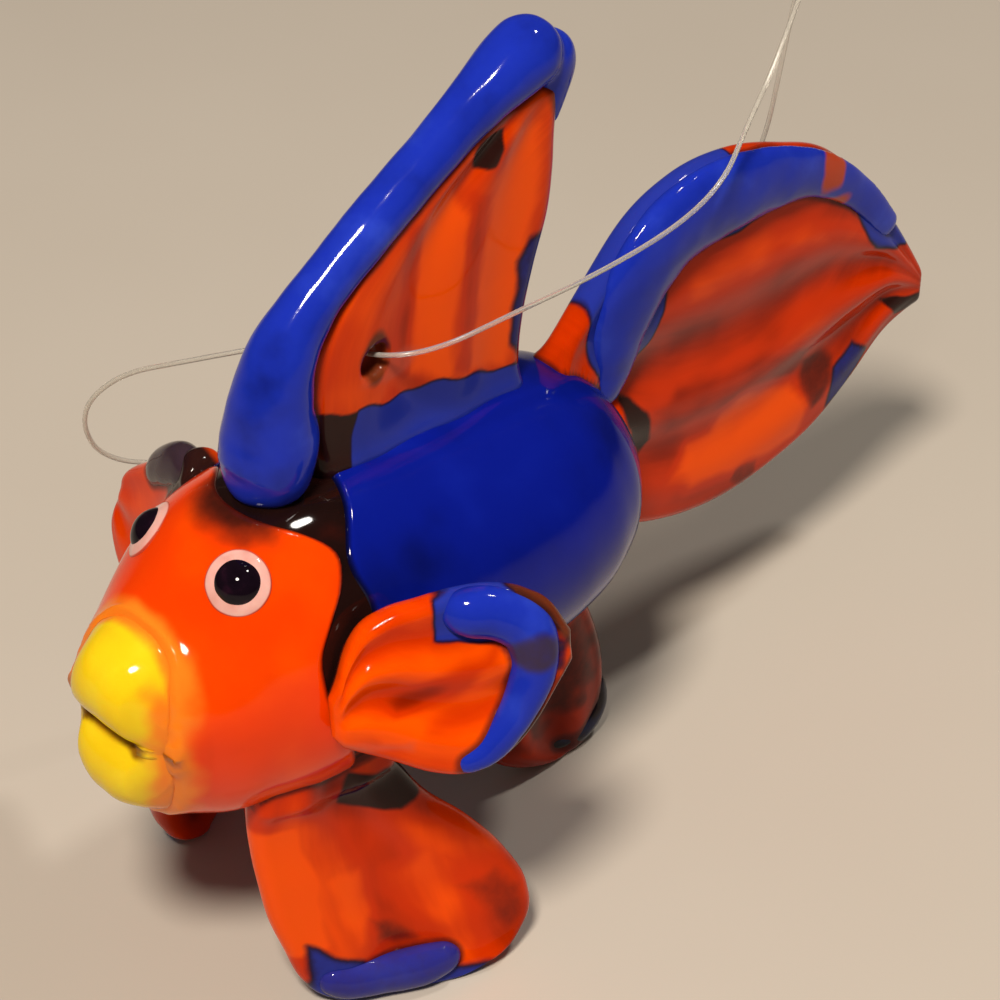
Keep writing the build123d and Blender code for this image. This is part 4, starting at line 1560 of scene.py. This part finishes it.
        # painted highlights and painted shade on the web
        light = (
            Patch((
                (0.437, 0.267), (0.484, 0.286), (0.557, 0.266), (0.633, 0.231), (0.662, 0.139),
                (0.644, 0.067), (0.57, 0.061), (0.471, 0.075), (0.361, 0.108), (0.317, 0.168),
                (0.356, 0.226), (0.415, 0.228),
            ), strength=0.55, soft=1.3),
            Patch((
                (0.257, 0.405), (0.313, 0.432), (0.406, 0.411), (0.526, 0.381), (0.625, 0.349),
                (0.677, 0.308), (0.631, 0.264), (0.532, 0.286), (0.471, 0.298), (0.424, 0.29),
                (0.365, 0.301), (0.294, 0.313),
            ), strength=-0.25, soft=0.8),
            Patch((
                (0.295, 0.599), (0.353, 0.581), (0.411, 0.562), (0.424, 0.527), (0.355, 0.534),
                (0.309, 0.532),
            ), strength=-0.1, soft=0.9),
            Patch((
                (0.312, 0.751), (0.414, 0.737), (0.529, 0.741), (0.677, 0.651), (0.705, 0.595),
                (0.557, 0.661), (0.441, 0.658), (0.338, 0.66),
            ), strength=0.16, soft=1.4),
        )
        amber = (Spot((1.5, 30.2, 45.1), (3, 1.5, 2.4)), Spot((1.5, 30.1, 41.1), (3, 2.6, 1.0)))
        drawn = bead_on(sheet, bead, 3.9, proud=1.2, flatness=0.4, around=64)
        # the low tone paints shade over the whole tail, and its crests get a painted highlight
        return Fin(
            "tail", web, (drawn,), sheet, patches, light=light, bead_amber=amber, tone=0.4,
            pleat_tone=0.12, ridge_haze=0.35,
        )

    def pectoral(
        self, side: Side, root: tuple, run: tuple, face: tuple, length: float, half: float, cup: float,
        shift: float, thickness: float, flute_depth: float, shares: Rows, bead: Rows,
    ) -> Fin:
        """A cupped fan standing off the gill.

        Args:
            side: of the fish.
            root: its root in gather radii and lengths.
            run: the direction in which it was pulled.
            face: the direction that its hollow side looks in.
            length: from root to tip.
            half: half its height.
            cup: how deep it is cupped.
            shift: how far the bead lies off its middle.
            thickness: of its web.
            flute_depth: how deep the pleats are pressed.
            shares: rows of along, low edge and high edge.
            bead: rows of along, height and share of the bead's half width.

        Returns:
            The fin.
        """
        at = self.gather
        base = np.array([root[0] * at.radius, at.nose + root[1] * at.length, at.axis + root[2] * at.radius])
        facing = unit(face)
        along = np.array(run, float)
        along = unit(along - facing * along.dot(facing))
        up = np.cross(facing, along)
        sheet = Sheet(base, along, -up if up[2] < 0 else up, facing, length, half)
        web = Web(
            sheet.line((a, low) for a, low, _ in shares), sheet.line((a, high) for a, _, high in shares),
            facing, thickness=thickness, flute_depth=flute_depth, flutes=4,
            cups=np.array([-cup * (high - low) / 2 * max(0.0, a) for a, low, high in shares]),
            flare=0.5, round_root=True,
        )
        drawn = bead_on(sheet, bead, 2.0, proud=shift, flatness=0.8)
        return Fin(side.name.lower() + "_pectoral", web, (drawn,), sheet=sheet)

    def left_pectoral(self) -> Fin:
        """The fan on the fish's left side."""
        fin = self.pectoral(
            Side.LEFT, root=(0.98, 0.249, 0.156), run=(0.53, 0.85, 0.0), face=(0.8, -0.5, 0.33), length=18.2,
            half=7.3, cup=1.6, shift=0.5, thickness=2.4, flute_depth=0.5,
            shares=(
                (-0.075, -0.34, 0.06), (-0.045, -0.44, 0.22), (0.0, -0.51, 0.52), (0.07, -0.59, 0.77),
                (0.165, -0.7, 0.9), (0.3, -0.86, 0.97), (0.45, -0.93, 1.03), (0.6, -0.8, 1.03),
                (0.74, -0.46, 0.92), (0.84, -0.08, 0.72), (0.9, 0.14, 0.44),
            ),
            bead=(
                (0.385, 0.82, 0.6), (0.5, 0.79, 0.95), (0.62, 0.72, 1.0), (0.725, 0.5, 0.98),
                (0.742, 0.2, 0.9), (0.705, -0.12, 0.78), (0.635, -0.43, 0.68), (0.53, -0.69, 0.58),
                (0.4, -0.83, 0.42),
            ),
        )
        fin.patches = {
            Stain.BLUE: (
                Patch((
                    (0.36, 0.538), (0.36, 0.956), (0.447, 1.092), (0.59, 1.146), (0.679, 0.949),
                    (0.739, 0.676), (0.812, 0.398), (0.712, 0.37), (0.597, 0.411), (0.461, 0.512),
                ), strength=0.95, soft=0.45),
                Patch((
                    (0.605, 0.408), (0.768, 0.561), (0.904, 0.386), (0.867, 0.027), (0.774, -0.013),
                    (0.657, 0.114),
                ), strength=0.5, soft=0.6),
            ),
            Stain.AMBER: (
                Patch((
                    (0.622, 1.052), (0.74, 1.031), (0.875, 0.859), (0.95, 0.475), (0.911, 0.171),
                    (0.846, 0.47), (0.754, 0.629), (0.676, 0.824),
                ), strength=0.9, soft=0.5),
                Patch((
                    (0.94, 0.373), (0.89, -0.034), (0.761, -0.524), (0.59, -0.914), (0.382, -1.139),
                    (0.446, -1.011), (0.637, -0.639), (0.781, -0.208), (0.863, 0.189),
                ), strength=0.8, soft=0.4),
            ),
            Stain.HAZE: (
                Patch(
                    ((-0.051, -0.488), (0.232, -0.562), (0.234, -0.456), (-0.049, -0.382)),
                    strength=0.8, soft=0.6,
                ),
            ),
        }
        # a painted highlight along a crest and painted shade along a groove
        fin.light = (
            Patch(
                ((0.124, -0.441), (0.602, -0.158), (0.583, 0.029), (0.106, -0.253)),
                strength=0.28, soft=0.8,
            ),
            Patch(((0.17, -0.199), (0.614, 0.17), (0.589, 0.353), (0.146, -0.016)), strength=-0.3, soft=0.8),
        )
        fin.bead_smoke = (Spot((19.4, -20.1, 35.1), (3.0, 2.0, 1.6), strength=0.75, wander=0.15),)
        fin.tone = 0.66
        return fin

    def right_pectoral(self) -> Fin:
        """The shorter fan on the fish's right side."""
        fin = self.pectoral(
            Side.RIGHT, root=(-0.86, 0.298, -0.031), run=(-0.92, 0.39, 0.0), face=(-0.3, -0.9, 0.3),
            length=13.0, half=7.0, cup=0.9, shift=0.6, thickness=3.0, flute_depth=0.15,
            shares=(
                (-0.12, -0.45, 0.6), (0.0, -0.68, 1.3), (0.11, -0.8, 1.4), (0.23, -0.88, 1.24),
                (0.37, -0.93, 1.02), (0.52, -0.91, 0.78), (0.66, -0.84, 0.52), (0.78, -0.7, 0.3),
                (0.855, -0.54, 0.12), (0.89, -0.4, -0.02),
            ),
            bead=(
                (0.53, 0.46, 0.5), (0.44, 0.72, 0.8), (0.33, 0.9, 0.9), (0.21, 1.04, 0.9), (0.1, 1.08, 0.8),
                (0.02, 1.0, 0.55),
            ),
        )
        fin.tone, fin.pleat_tone = 0.62, 0.05
        # the web's smoke spot and the spot over the whole bead paint shade on this fin, which lies in shade
        # behind the head
        fin.spots = {Stain.SMOKE: (Spot((-10.6, -28.6, 38.0), (3.6, 3.6, 3.4), wander=0.2),)}
        fin.bead_smoke = (Spot((-12.6, -28.0, 37.4), (7.0, 7.0, 7.0), wander=0.1),)
        return fin

    def pelvic(self, side: Side, shares: Rows) -> Fin:
        """A splayed paddle from the belly to the ground.

        Args:
            side: of the fish.
            shares: rows of height, front edge out and back, rear edge out and back.

        Returns:
            The fin.
        """
        at, setback, seat, spread, chord = self.gather, 7.25, 5.4, 16.0, 20.0
        cut, half, proud = 0.35, 1.75, 0.9
        high = at.axis - seat

        def place(out: float, back: float, height: float) -> np.ndarray:
            """A place on the paddle."""
            z = height * (high + cut) - cut
            return np.array([side.value * out * spread, at.nose + setback + back * chord, z])

        fronts = np.array([place(a, b, h) for h, a, b, _, _ in shares])
        rears = np.array([place(c, d, h) for h, _, _, c, d in shares])
        run = rears - fronts
        faces = np.column_stack([run[:, 1], -run[:, 0], 0 * run[:, 0]]) * side.value
        faces /= np.linalg.norm(faces, axis=1)[:, None]
        web = Web(fronts, rears, faces, thickness=2.6, flute_depth=0.6, flutes=3, flare=0.8, foot=True)
        # the bead crosses the web just over its foot: along, height in half widths, share of the half width
        front, rear, face = fronts[8], rears[8], faces[8]
        bead = (
            (0.02, 1.75, 0.55), (0.14, 1.25, 0.9), (0.34, 1.05, 1.0), (0.56, 1.1, 1.0), (0.76, 1.45, 0.65),
        )
        path = np.array([front + (rear - front) * along + face * proud for along, _, _ in bead])
        path[:, 2] = half * np.array(bead)[:, 1]
        drawn = Bead(path, half * np.array(bead)[:, 2], face, flatness=0.8)
        sheet = Sheet(np.array([0.0, at.nose + setback, 0.0]), *np.eye(3)[[1, 2, 0]], chord, high)
        return Fin(side.name.lower() + "_pelvic", web, (drawn,), sheet=sheet)

    def left_pelvic(self) -> Fin:
        """The left front foot."""
        fin = self.pelvic(
            Side.LEFT,
            (
                (1.0, 0.37, 0.06, 0.44, 0.52), (0.88, 0.35, 0.02, 0.49, 0.56),
                (0.76, 0.34, 0.0, 0.55, 0.62), (0.64, 0.35, 0.0, 0.61, 0.7),
                (0.504, 0.375, 0.01, 0.72, 0.84), (0.36, 0.405, 0.03, 0.82, 0.95),
                (0.24, 0.445, 0.065, 0.905, 0.995), (0.12, 0.49, 0.105, 0.94, 0.96),
                (0.06, 0.525, 0.15, 0.95, 0.835), (0.025, 0.57, 0.21, 0.89, 0.7),
                (0.0, 0.62, 0.285, 0.8, 0.56),
            ),
        )
        fin.patches = {
            Stain.SMOKE: (
                Patch((
                    (0.344, 0.881), (0.622, 0.81), (0.647, 0.675), (0.541, 0.65), (0.312, 0.743),
                ), strength=0.95, soft=0.6),
                Patch((
                    (0.666, 0.339), (0.87, 0.363), (0.965, 0.263), (0.944, 0.136), (0.854, 0.098),
                    (0.786, 0.17), (0.736, 0.261),
                ), strength=0.52, soft=1.4),
                Patch((
                    (0.356, 0.295), (0.439, 0.269), (0.563, 0.146), (0.467, 0.143), (0.37, 0.179),
                ), strength=0.58, soft=1.0),
            ),
            Stain.BLUE: (
                Patch((
                    (0.115, 0.264), (0.307, 0.145), (0.587, 0.06), (0.75, 0.043), (0.811, -0.096),
                    (0.583, -0.124), (0.26, -0.042), (0.104, 0.043),
                ), strength=0.75, soft=0.8),
            ),
        }
        # painted highlights and painted shade on the web
        fin.light = (
            Patch(
                ((-0.05, 0.75), (0.107, 0.726), (0.161, 0.545), (0.168, 0.255), (0.0, 0.2)),
                strength=0.34, soft=0.5,
            ),
            Patch(
                ((0.231, 0.487), (0.354, 0.481), (0.378, 0.314), (0.309, 0.23), (0.246, 0.355)),
                strength=0.24, soft=0.8,
            ),
            Patch(
                ((0.452, 0.432), (0.602, 0.471), (0.669, 0.279), (0.635, 0.204), (0.493, 0.28)),
                strength=0.2, soft=0.9,
            ),
            Patch(((0.1, 0.95), (0.15, 0.76), (0.75, 0.56), (0.75, 0.78)), strength=-0.22, soft=1.2),
            Patch(((0.67, 0.45), (1.0, 0.35), (0.98, 0.0), (0.72, 0.1)), strength=-0.24, soft=1.0),
        )
        fin.tone = 0.56
        fin.bead_smoke = (Spot((12.0, -21.0, 2.0), (20.0, 20.0, 6.0), strength=0.55, wander=0.1),)
        return fin

    def right_pelvic(self) -> Fin:
        """The right front foot."""
        fin = self.pelvic(
            Side.RIGHT,
            (
                (1.0, 0.37, 0.06, 0.46, 0.52), (0.88, 0.36, 0.02, 0.51, 0.57),
                (0.76, 0.4, 0.01, 0.575, 0.62), (0.64, 0.475, 0.025, 0.65, 0.67),
                (0.504, 0.58, 0.07, 0.78, 0.775), (0.36, 0.67, 0.115, 0.9, 0.845),
                (0.24, 0.71, 0.17, 0.985, 0.865), (0.12, 0.72, 0.225, 1.02, 0.825),
                (0.06, 0.7, 0.275, 1.0, 0.745), (0.025, 0.725, 0.345, 0.95, 0.645),
                (0.0, 0.76, 0.405, 0.89, 0.545),
            ),
        )
        # the smoke spot and the low tone paint shade on this foot, which lies in shade under the head
        fin.spots = {Stain.SMOKE: (Spot((-12.5, -33.0, 9.0), (3, 2.0, 3.5), strength=0.8),)}
        fin.tone = 0.38
        return fin

    def anal(self) -> Fin:
        """The rear foot under the body."""
        at, setback, seat, chord = self.gather, 32.5, 8.4, 16.0
        cut, lean, half, proud = 0.35, 0.06, 1.5, 0.5
        root = at.axis - seat

        def place(height: float, along: float, shift: float = 0.0) -> np.ndarray:
            """A place on the blade."""
            z = height * (root + cut) - cut
            return np.array([lean * (root - z) + shift, at.nose + setback + along * chord, z])

        shares = (
            (1.0, 0.2, 0.68), (0.82, 0.14, 0.8), (0.6, 0.09, 0.93), (0.37, 0.1, 1.0), (0.23, 0.155, 0.995),
            (0.14, 0.25, 0.97), (0.07, 0.39, 0.92), (0.025, 0.54, 0.86), (0.0, 0.66, 0.8),
        )
        bead = (
            (0.97, 0.27, 0.45), (0.93, 0.15, 0.85), (0.82, 0.085, 1.0), (0.69, 0.085, 0.8),
            (0.56, 0.095, 0.45),
        )
        face = np.array([1.0, 0, 0])
        web = Web(
            np.array([place(h, a) for h, a, _ in shares]), np.array([place(h, b) for h, _, b in shares]),
            face, thickness=2.8, flute_depth=0.45, flutes=3, foot=True,
        )
        path = np.array([place(h, a, proud) for a, h, _ in bead])
        drawn = Bead(path, half * np.array(bead)[:, 2], face, flatness=0.8)
        # the wide smoke spot and the low tone paint shade over this foot, which lies in shade under the body
        spots = {Stain.SMOKE: (Spot((0.0, -3.0, 10.0), (9.0, 9.0, 7.0), strength=0.62),)}
        return Fin("anal", web, (drawn,), bead_tint="dark", tone=0.15, spots=spots)

    def build(self, shop: Workshop, swept: SweptTree) -> None:
        """Make all the fins."""
        for make in (
            self.dorsal, self.tail, self.left_pectoral, self.right_pectoral, self.left_pelvic,
            self.right_pelvic, self.anal,
        ):
            make().build(shop, swept, self.gather)


@dataclass
class Head:
    """The lips and the eyes, beads set on the head.

    Attributes:
        gather: the barrel.
        half_width: of the mouth, to its corners.
        height_drop: how far the crease lies below the axis.
        lip_radius, corner_radius: half the lips' thickness in the middle and at the corners.
        setback, corner_advance: how far the lips lie behind the nose, and how much less at the corners.
        rise: from the crease to each lip's middle.
        fillet: how far from the head the glass runs together.
        eye_radius, pupil_radius: of the two beads of an eye.
        eye_sink, pupil_lift: how far below and over the head's surface they sit.
    """

    gather: Gather
    half_width: float = 4.5
    height_drop: float = 0.8
    lip_radius: float = 3.65
    corner_radius: float = 1.9
    setback: float = 1.85
    corner_advance: float = 0.5
    rise: float = 3.6
    fillet: float = 2.6
    eye_radius: float = 2.4
    pupil_radius: float = 1.66
    eye_sink: float = 0.25
    pupil_lift: float = 0.1

    def lip(self, way: int) -> Bead:
        """The bead of the upper lip, way 1, or of the lower one, way -1."""
        side = np.linspace(-1, 1, 7)
        swell = 1 - np.abs(side) ** 3
        crease = self.gather.axis - self.height_drop
        path = np.column_stack([
            self.half_width * side,
            self.gather.nose + self.setback - self.corner_advance * side**2,
            crease + way * (self.rise * swell + self.corner_radius * (1 - swell)),
        ])
        radii = self.corner_radius + (self.lip_radius - self.corner_radius) * swell
        return Bead(path, radii, np.array([0, 0, 1.0]), around=64)

    def lips(self, shop: Workshop, swept: SweptTree, head: Mesh) -> list[Mesh]:
        """Make, paint and place the lips, run together with each other at the corners and with the head.

        Args:
            shop: makes the pieces.
            swept: draws the beads.
            head: the head's casing.

        Returns:
            The lips' meshes.
        """
        finish = shop.finish_of(YELLOW_BEAD)
        words = ("upper", "lower")
        meshes = [self.lip(way).mesh(word + "_lip_bead", swept, finish) for word, way in zip(words, (1, -1))]
        skins = [surface_of(mesh) for mesh in meshes]
        for mesh, other in zip(meshes, skins[::-1]):
            aside = smoothstep(0.45, 1.0, np.abs(mesh_points(mesh)[:, 0]) / self.half_width)
            moves = blend(mesh, surface_of(head), self.fillet) + blend(mesh, other, 0.8 + 2.2 * aside)
            set_points(mesh, mesh_points(mesh) + moves)
        for word, mesh, other in zip(words, meshes, meshes[::-1]):
            points = mesh_points(mesh)
            aside = smoothstep(0.6, 1.0, np.abs(points[:, 0]) / self.half_width)
            over = self.gather.over(points) + 0.5 * ripple(points, 1.5, 2.0)
            set_field(mesh, Stain.TONE.value, 0.55 + 0.2 * ripple(points, 3.0, 5.0))
            set_field(mesh, Stain.PEACH.value, 1 - smoothstep(0.4, 2.9, over))
            # painted shade in the crease between the lips, fading out towards the corners
            crease = (1 - smoothstep(0.0, 0.9, distance_to(points, other))) * (1 - aside)
            set_field(mesh, Stain.SEAM.value, crease)
            shop.place(mesh.name, mesh, YELLOW_BEAD, "yellow_glass", word + "_lip")
        return meshes

    def eyes(self, shop: Workshop) -> None:
        """Make, paint and place the eyes."""
        for side in Side:
            word = side.name.lower()
            plane = self.gather.eye_plane(side)
            low, high = plane.copy(), plane.copy()
            for k in range(3):
                low[k][3] -= self.eye_sink * plane[k][2]
                high[k][3] += self.pupil_lift * plane[k][2]
            white = pressed_bead(
                word + "_eye_bead", low, self.eye_radius, proud=0.7, depth=1.2, seed=0.3 + side.value,
            )
            pupil = pressed_bead(
                word + "_pupil_bead", high, self.pupil_radius, proud=0.85, depth=0.5, seed=1.7 + side.value,
            )
            for mesh in (white, pupil):
                points, reach = mesh_points(mesh), read_field(mesh, "reach")
                set_field(mesh, Stain.TONE.value, 0.5 + 0.3 * ripple(points, 1.0, 0.9))
                set_field(mesh, Stain.SEAM.value, smoothstep(0.9, 1.0, reach))
            shop.place(white.name, white, PINK_WHITE_BEAD, "white_glass", word + "_eye_white")
            shop.place(pupil.name, pupil, BLACK_BEAD, "black_glass", word + "_pupil")


@dataclass
class Barrel:
    """Head and body: the smoky gather and its two casings.

    Attributes:
        gather: the barrel.
    """

    gather: Gather

    def build(self, shop: Workshop, swept: SweptTree, face: Head) -> None:
        """Make, paint and place the gather, its casings and the lips that the head's casing runs on to."""
        core = self.gather.clear("smoky_gather")
        points = mesh_points(core)
        set_field(core, Stain.TONE.value, 0.45 + 0.3 * ripple(points, 3.0, 1.0))
        shop.place(core.name, core, SMOKY_GATHER, "smoky_clear_glass", "glass_core")
        head = self.gather.casing("orange_casing", head=True)
        lips = face.lips(shop, swept, head)
        skins = map(surface_of, lips)
        moves = sum(blend(head, skin, face.fillet) for skin in skins)
        points = mesh_points(head)
        near = np.minimum(*(np.abs(distance_to(points, lip)) for lip in lips))
        set_points(head, points + moves)
        smoke = Spot((0.0, -30.8, 42.2), (4.2, 3.3, 3.2), strength=0.9, wander=0.12)
        self.paint(head, tone=0.55, smoke=(smoke,))
        set_field(head, Stain.PEACH.value, 1 - smoothstep(0.0, 2.2, near + 0.5 * ripple(points, 2.0, 4.0)))
        shop.place(head.name, head, ORANGE_CASING, "orange_glass", "orange_head")
        body = self.gather.casing("cobalt_casing", head=False)
        haze = Spot((-1.0, -14.6, 43.0), (3.2, 3.4, 1.6), strength=0.9)
        self.paint(body, tone=0.45, haze=(haze,))
        shop.place(body.name, body, COBALT_CASING, "cobalt_glass", "blue_body")

    def paint(
        self, mesh: Mesh, tone: float, smoke: tuple[Spot, ...] = (), haze: tuple[Spot, ...] = (),
    ) -> None:
        """Store a casing's fields: tone, the dark of its rim, smoke and haze."""
        points = mesh_points(mesh)
        rim = read_field(mesh, Stain.SEAM.value)
        patchy = 0.2 * ripple(points, 7.0, 2.0) + 0.1 * ripple(points, 3.0, 3.0)
        set_field(mesh, Stain.TONE.value, tone + patchy)
        set_field(mesh, Stain.SEAM.value, 0.9 * (1 - smoothstep(0.0, 0.9, rim)))
        set_field(mesh, Stain.SMOKE.value, spotted(points, smoke))
        set_field(mesh, Stain.HAZE.value, spotted(points, haze))


@dataclass
class Thread:
    """The nylon line: one strand on each side of the dorsal fin, knotted above the tail.

    Attributes:
        diameter: of the line.
        left, right: the strands' routes, which repeat the part's, from the hole to the knot.
        left_length, right_length: their lengths in metres.
        knot_base: the foot of the knot.
        entry_aside, entry_drop: how far beside and below it each strand enters.
        wrap_start: height over it at which the wraps begin.
        wrap_radius, wrap_height, wrap_turn: of the wraps, the last in radians.
        tip_length, tip_lean, tip_aside: the cut ends' length, lean from upright in degrees, and how far
            beside the middle they start.
    """

    diameter: float = 0.4
    left: Rows = (
        (0.0, -19.1, 50.6), (2.3, -18.7, 51.1), (4.6, -15.3, 51.5), (4.9, -9.1, 51.4), (5.0, 0.1, 50.8),
        (5.0, 8.6, 51.1), (4.0, 14.5, 52.0), (2.5, 18.2, 54.2), (1.2, 22.9, 57.8), (0.35, 26.3, 62.4),
    )
    right: Rows = (
        (0.0, -19.1, 50.6), (-2.6, -19.7, 50.9), (-6.4, -24.0, 49.9), (-12.0, -26.4, 46.9),
        (-17.4, -27.5, 43.6), (-21.2, -28.3, 39.5), (-23.0, -27.9, 35.6), (-23.9, -26.1, 31.4),
        (-23.2, -22.3, 28.6), (-21.0, -15.1, 27.4), (-18.0, -5.2, 26.0), (-13.4, 4.7, 26.5),
        (-9.4, 13.5, 28.6), (-6.4, 20.5, 33.6), (-4.2, 24.9, 40.6), (-2.6, 26.5, 47.4), (-1.4, 26.4, 54.6),
        (-0.35, 26.6, 62.4),
    )
    left_length: float = 0.0526
    right_length: float = 0.1191
    knot_base: Triple = (0.0, 26.45, 62.4)
    entry_aside: float = 0.35
    entry_drop: float = 0.25
    wrap_start: float = 0.15
    wrap_radius: float = 0.62
    wrap_height: float = 1.6
    wrap_turn: float = 3.2 * math.pi
    tip_length: float = 2.2
    tip_lean: float = 22.0
    tip_aside: float = 0.4

    def strand(self, name: str, route: Rows) -> Curve:
        """One strand as an open NURBS spline on its route.

        Args:
            name: the curve's name.
            route: its control points in millimetres.

        Returns:
            The curve.
        """
        curve = bpy.data.curves.new(name, "CURVE")
        curve.dimensions = "3D"
        spline = curve.splines.new("NURBS")
        spline.points.add(len(route) - 1)
        for point, at in zip(spline.points, route):
            point.co = (*(a * MM for a in at), 1.0)
        spline.order_u = 3
        spline.use_endpoint_u = True
        spline.resolution_u = 12
        curve.bevel_depth = self.diameter / 2 * MM
        curve.bevel_resolution = 3
        curve.use_fill_caps = True
        return curve

    def knot(self, swept: SweptTree, finish: Material) -> Mesh:
        """The knot: both strands wound round each other, then two cut ends."""
        paths = []
        turn, lean = np.linspace(0, self.wrap_turn, 60), math.radians(self.tip_lean)
        for sign in (-1, 1):
            wound = np.column_stack([
                sign * self.wrap_radius * np.cos(turn), sign * self.wrap_radius * np.sin(turn),
                self.wrap_start + self.wrap_height * turn / turn[-1],
            ])
            start = wound[-1]
            tip = np.array([sign * math.sin(lean) * self.tip_length, 0, math.cos(lean) * self.tip_length])
            way = tip + np.array([-start[0] + sign * self.tip_aside, -start[1], 0])
            tail = start + way * np.linspace(0.1, 1.0, 10)[:, None]
            foot = np.array([[sign * self.entry_aside, 0.0, -self.entry_drop]])
            paths.append(np.concatenate([foot, wound, tail]) + np.array(self.knot_base))
        radii = [np.full(len(path), self.diameter / 2) for path in paths]
        return swept.sweep(
            "thread_knot_wraps", paths, radii, across=(0, 0, 1), flatness=1.0, around=12, finish=finish,
        )

    def build(self, shop: Workshop, swept: SweptTree) -> None:
        """Make and place the strands and the knot."""
        nylon = Nylon()
        knot = shop.place(
            "thread_knot_wraps", self.knot(swept, shop.finish_of(nylon)), nylon, "clear_nylon", "thread_knot",
        )
        for side, route, length in (
            (Side.LEFT, self.left, self.left_length), (Side.RIGHT, self.right, self.right_length),
        ):
            word = side.name.lower()
            name = word + "_nylon_strand"
            strand = shop.place(
                name, self.strand(name, route), nylon, "clear_nylon", "thread_" + word + "_strand",
            )


@dataclass
class Studio:
    """Camera, floor, lamps and world.

    Attributes:
        eye: the camera's place in millimetres.
        azimuth, elevation: the angles that it looks from, in degrees.
        lens, sensor: of the camera.
        clip: the nearest and farthest that it sees, in metres.
        aim: height of the lamps' aim in metres.
        floor_size: half the floor's width in metres.
        room_light, room_gloss: strength of the room as a light and in reflections.
        room, backdrop: sRGB hex of the room's light and of what the camera sees of it.
    """

    eye: Triple = (137.513, -135.361, 183.084)
    azimuth: float = 46.6
    elevation: float = 39.1
    lens: float = 112.32
    sensor: float = 36.0
    clip: tuple[float, float] = (0.01, 20.0)
    aim: float = 0.03
    floor_size: float = 3.0
    room_light: float = 0.13
    room_gloss: float = 0.05
    room: str = "#efe9e0"
    backdrop: str = "#cdc1b2"

    def camera(self) -> None:
        """The camera at the portrait's angle."""
        data = bpy.data.cameras.new("portrait camera")
        data.sensor_fit, data.sensor_width, data.lens = "HORIZONTAL", self.sensor, self.lens
        data.clip_start, data.clip_end = self.clip
        camera = stand("portrait camera", data)
        side, high = math.radians(self.azimuth), math.radians(self.elevation)
        back = Vector((math.sin(side) * math.cos(high), -math.cos(side) * math.cos(high), math.sin(high)))
        right = Vector((math.cos(side), math.sin(side), 0.0))
        turn = Matrix((right, back.cross(right), back)).transposed()
        camera.matrix_world = Matrix.Translation(Vector(self.eye) * MM) @ turn.to_4x4()
        bpy.context.scene.camera = camera

    def lamp(self, name: str, toward: tuple, away: float, size: float, power: float, colour: str) -> None:
        """A soft round lamp that looks at the fish.

        Args:
            name: its name.
            toward: the direction of the lamp from the fish.
            away: its distance in metres.
            size: its width in metres.
            power: in watts.
            colour: sRGB hex.
        """
        data = bpy.data.lights.new(name, "AREA")
        data.shape, data.size, data.energy = "DISK", size, power
        data.color = linear(colour)[:3]
        lamp = stand(name, data)
        way = Vector(toward).normalized()
        lamp.location = way * away + Vector((0, 0, self.aim))
        lamp.rotation_euler = way.to_track_quat("Z", "Y").to_euler()

    def floor(self) -> None:
        """A plain pale floor, wide enough for every view."""
        mesh = bpy.data.meshes.new("floor")
        with editing(mesh) as work:
            bmesh.ops.create_grid(work, x_segments=8, y_segments=8, size=self.floor_size)
        mesh.materials.append(FloorPaint().material())
        floor = stand("floor", mesh)

    def world(self) -> None:
        """A pale room, dimmer as a light than as a background."""
        world = bpy.data.worlds.new("pale room")
        bpy.context.scene.world = world
        world.use_nodes = True
        tree = world.node_tree
        tree.nodes.clear()
        path = add(tree, "ShaderNodeLightPath")
        room, dim, seen = (
            add(tree, "ShaderNodeBackground", {"Color": linear(colour), "Strength": strength}).outputs[0]
            for colour, strength in (
                (self.room, self.room_light), (self.room, self.room_gloss), (self.backdrop, 1.0),
            )
        )
        gloss = add(tree, "ShaderNodeMixShader", {0: path.outputs["Is Glossy Ray"], 1: room, 2: dim})
        mixed = add(
            tree, "ShaderNodeMixShader", {0: path.outputs["Is Camera Ray"], 1: gloss.outputs[0], 2: seen},
        )
        add(tree, "ShaderNodeOutputWorld", {"Surface": mixed.outputs[0]})

    def build(self) -> None:
        """Set up everything but the camera."""
        self.floor()
        self.world()
        self.lamp("key lamp", (0.27, -0.44, 0.85), away=0.6, size=0.11, power=3.8, colour="#fff4e6")
        self.lamp("top lamp", (0.15, 0.39, 0.91), away=0.55, size=0.06, power=0.8, colour="#fffaf2")


def main() -> None:
    """Build the fish and its studio."""
    logging.basicConfig(level=logging.INFO, format="%(name)s: %(message)s")
    bpy.context.scene.view_settings.view_transform = "Standard"
    studio = Studio()
    studio.camera()
    shop, swept, gather = Workshop(), SweptTree(), Gather()
    Thread().build(shop, swept)
    head = Head(gather)
    Barrel(gather).build(shop, swept, head)
    head.eyes(shop)
    FinSet(gather).build(shop, swept)
    studio.build()
    log.info("%d pieces made", len(shop.made))


if __name__ == "__main__":
    main()
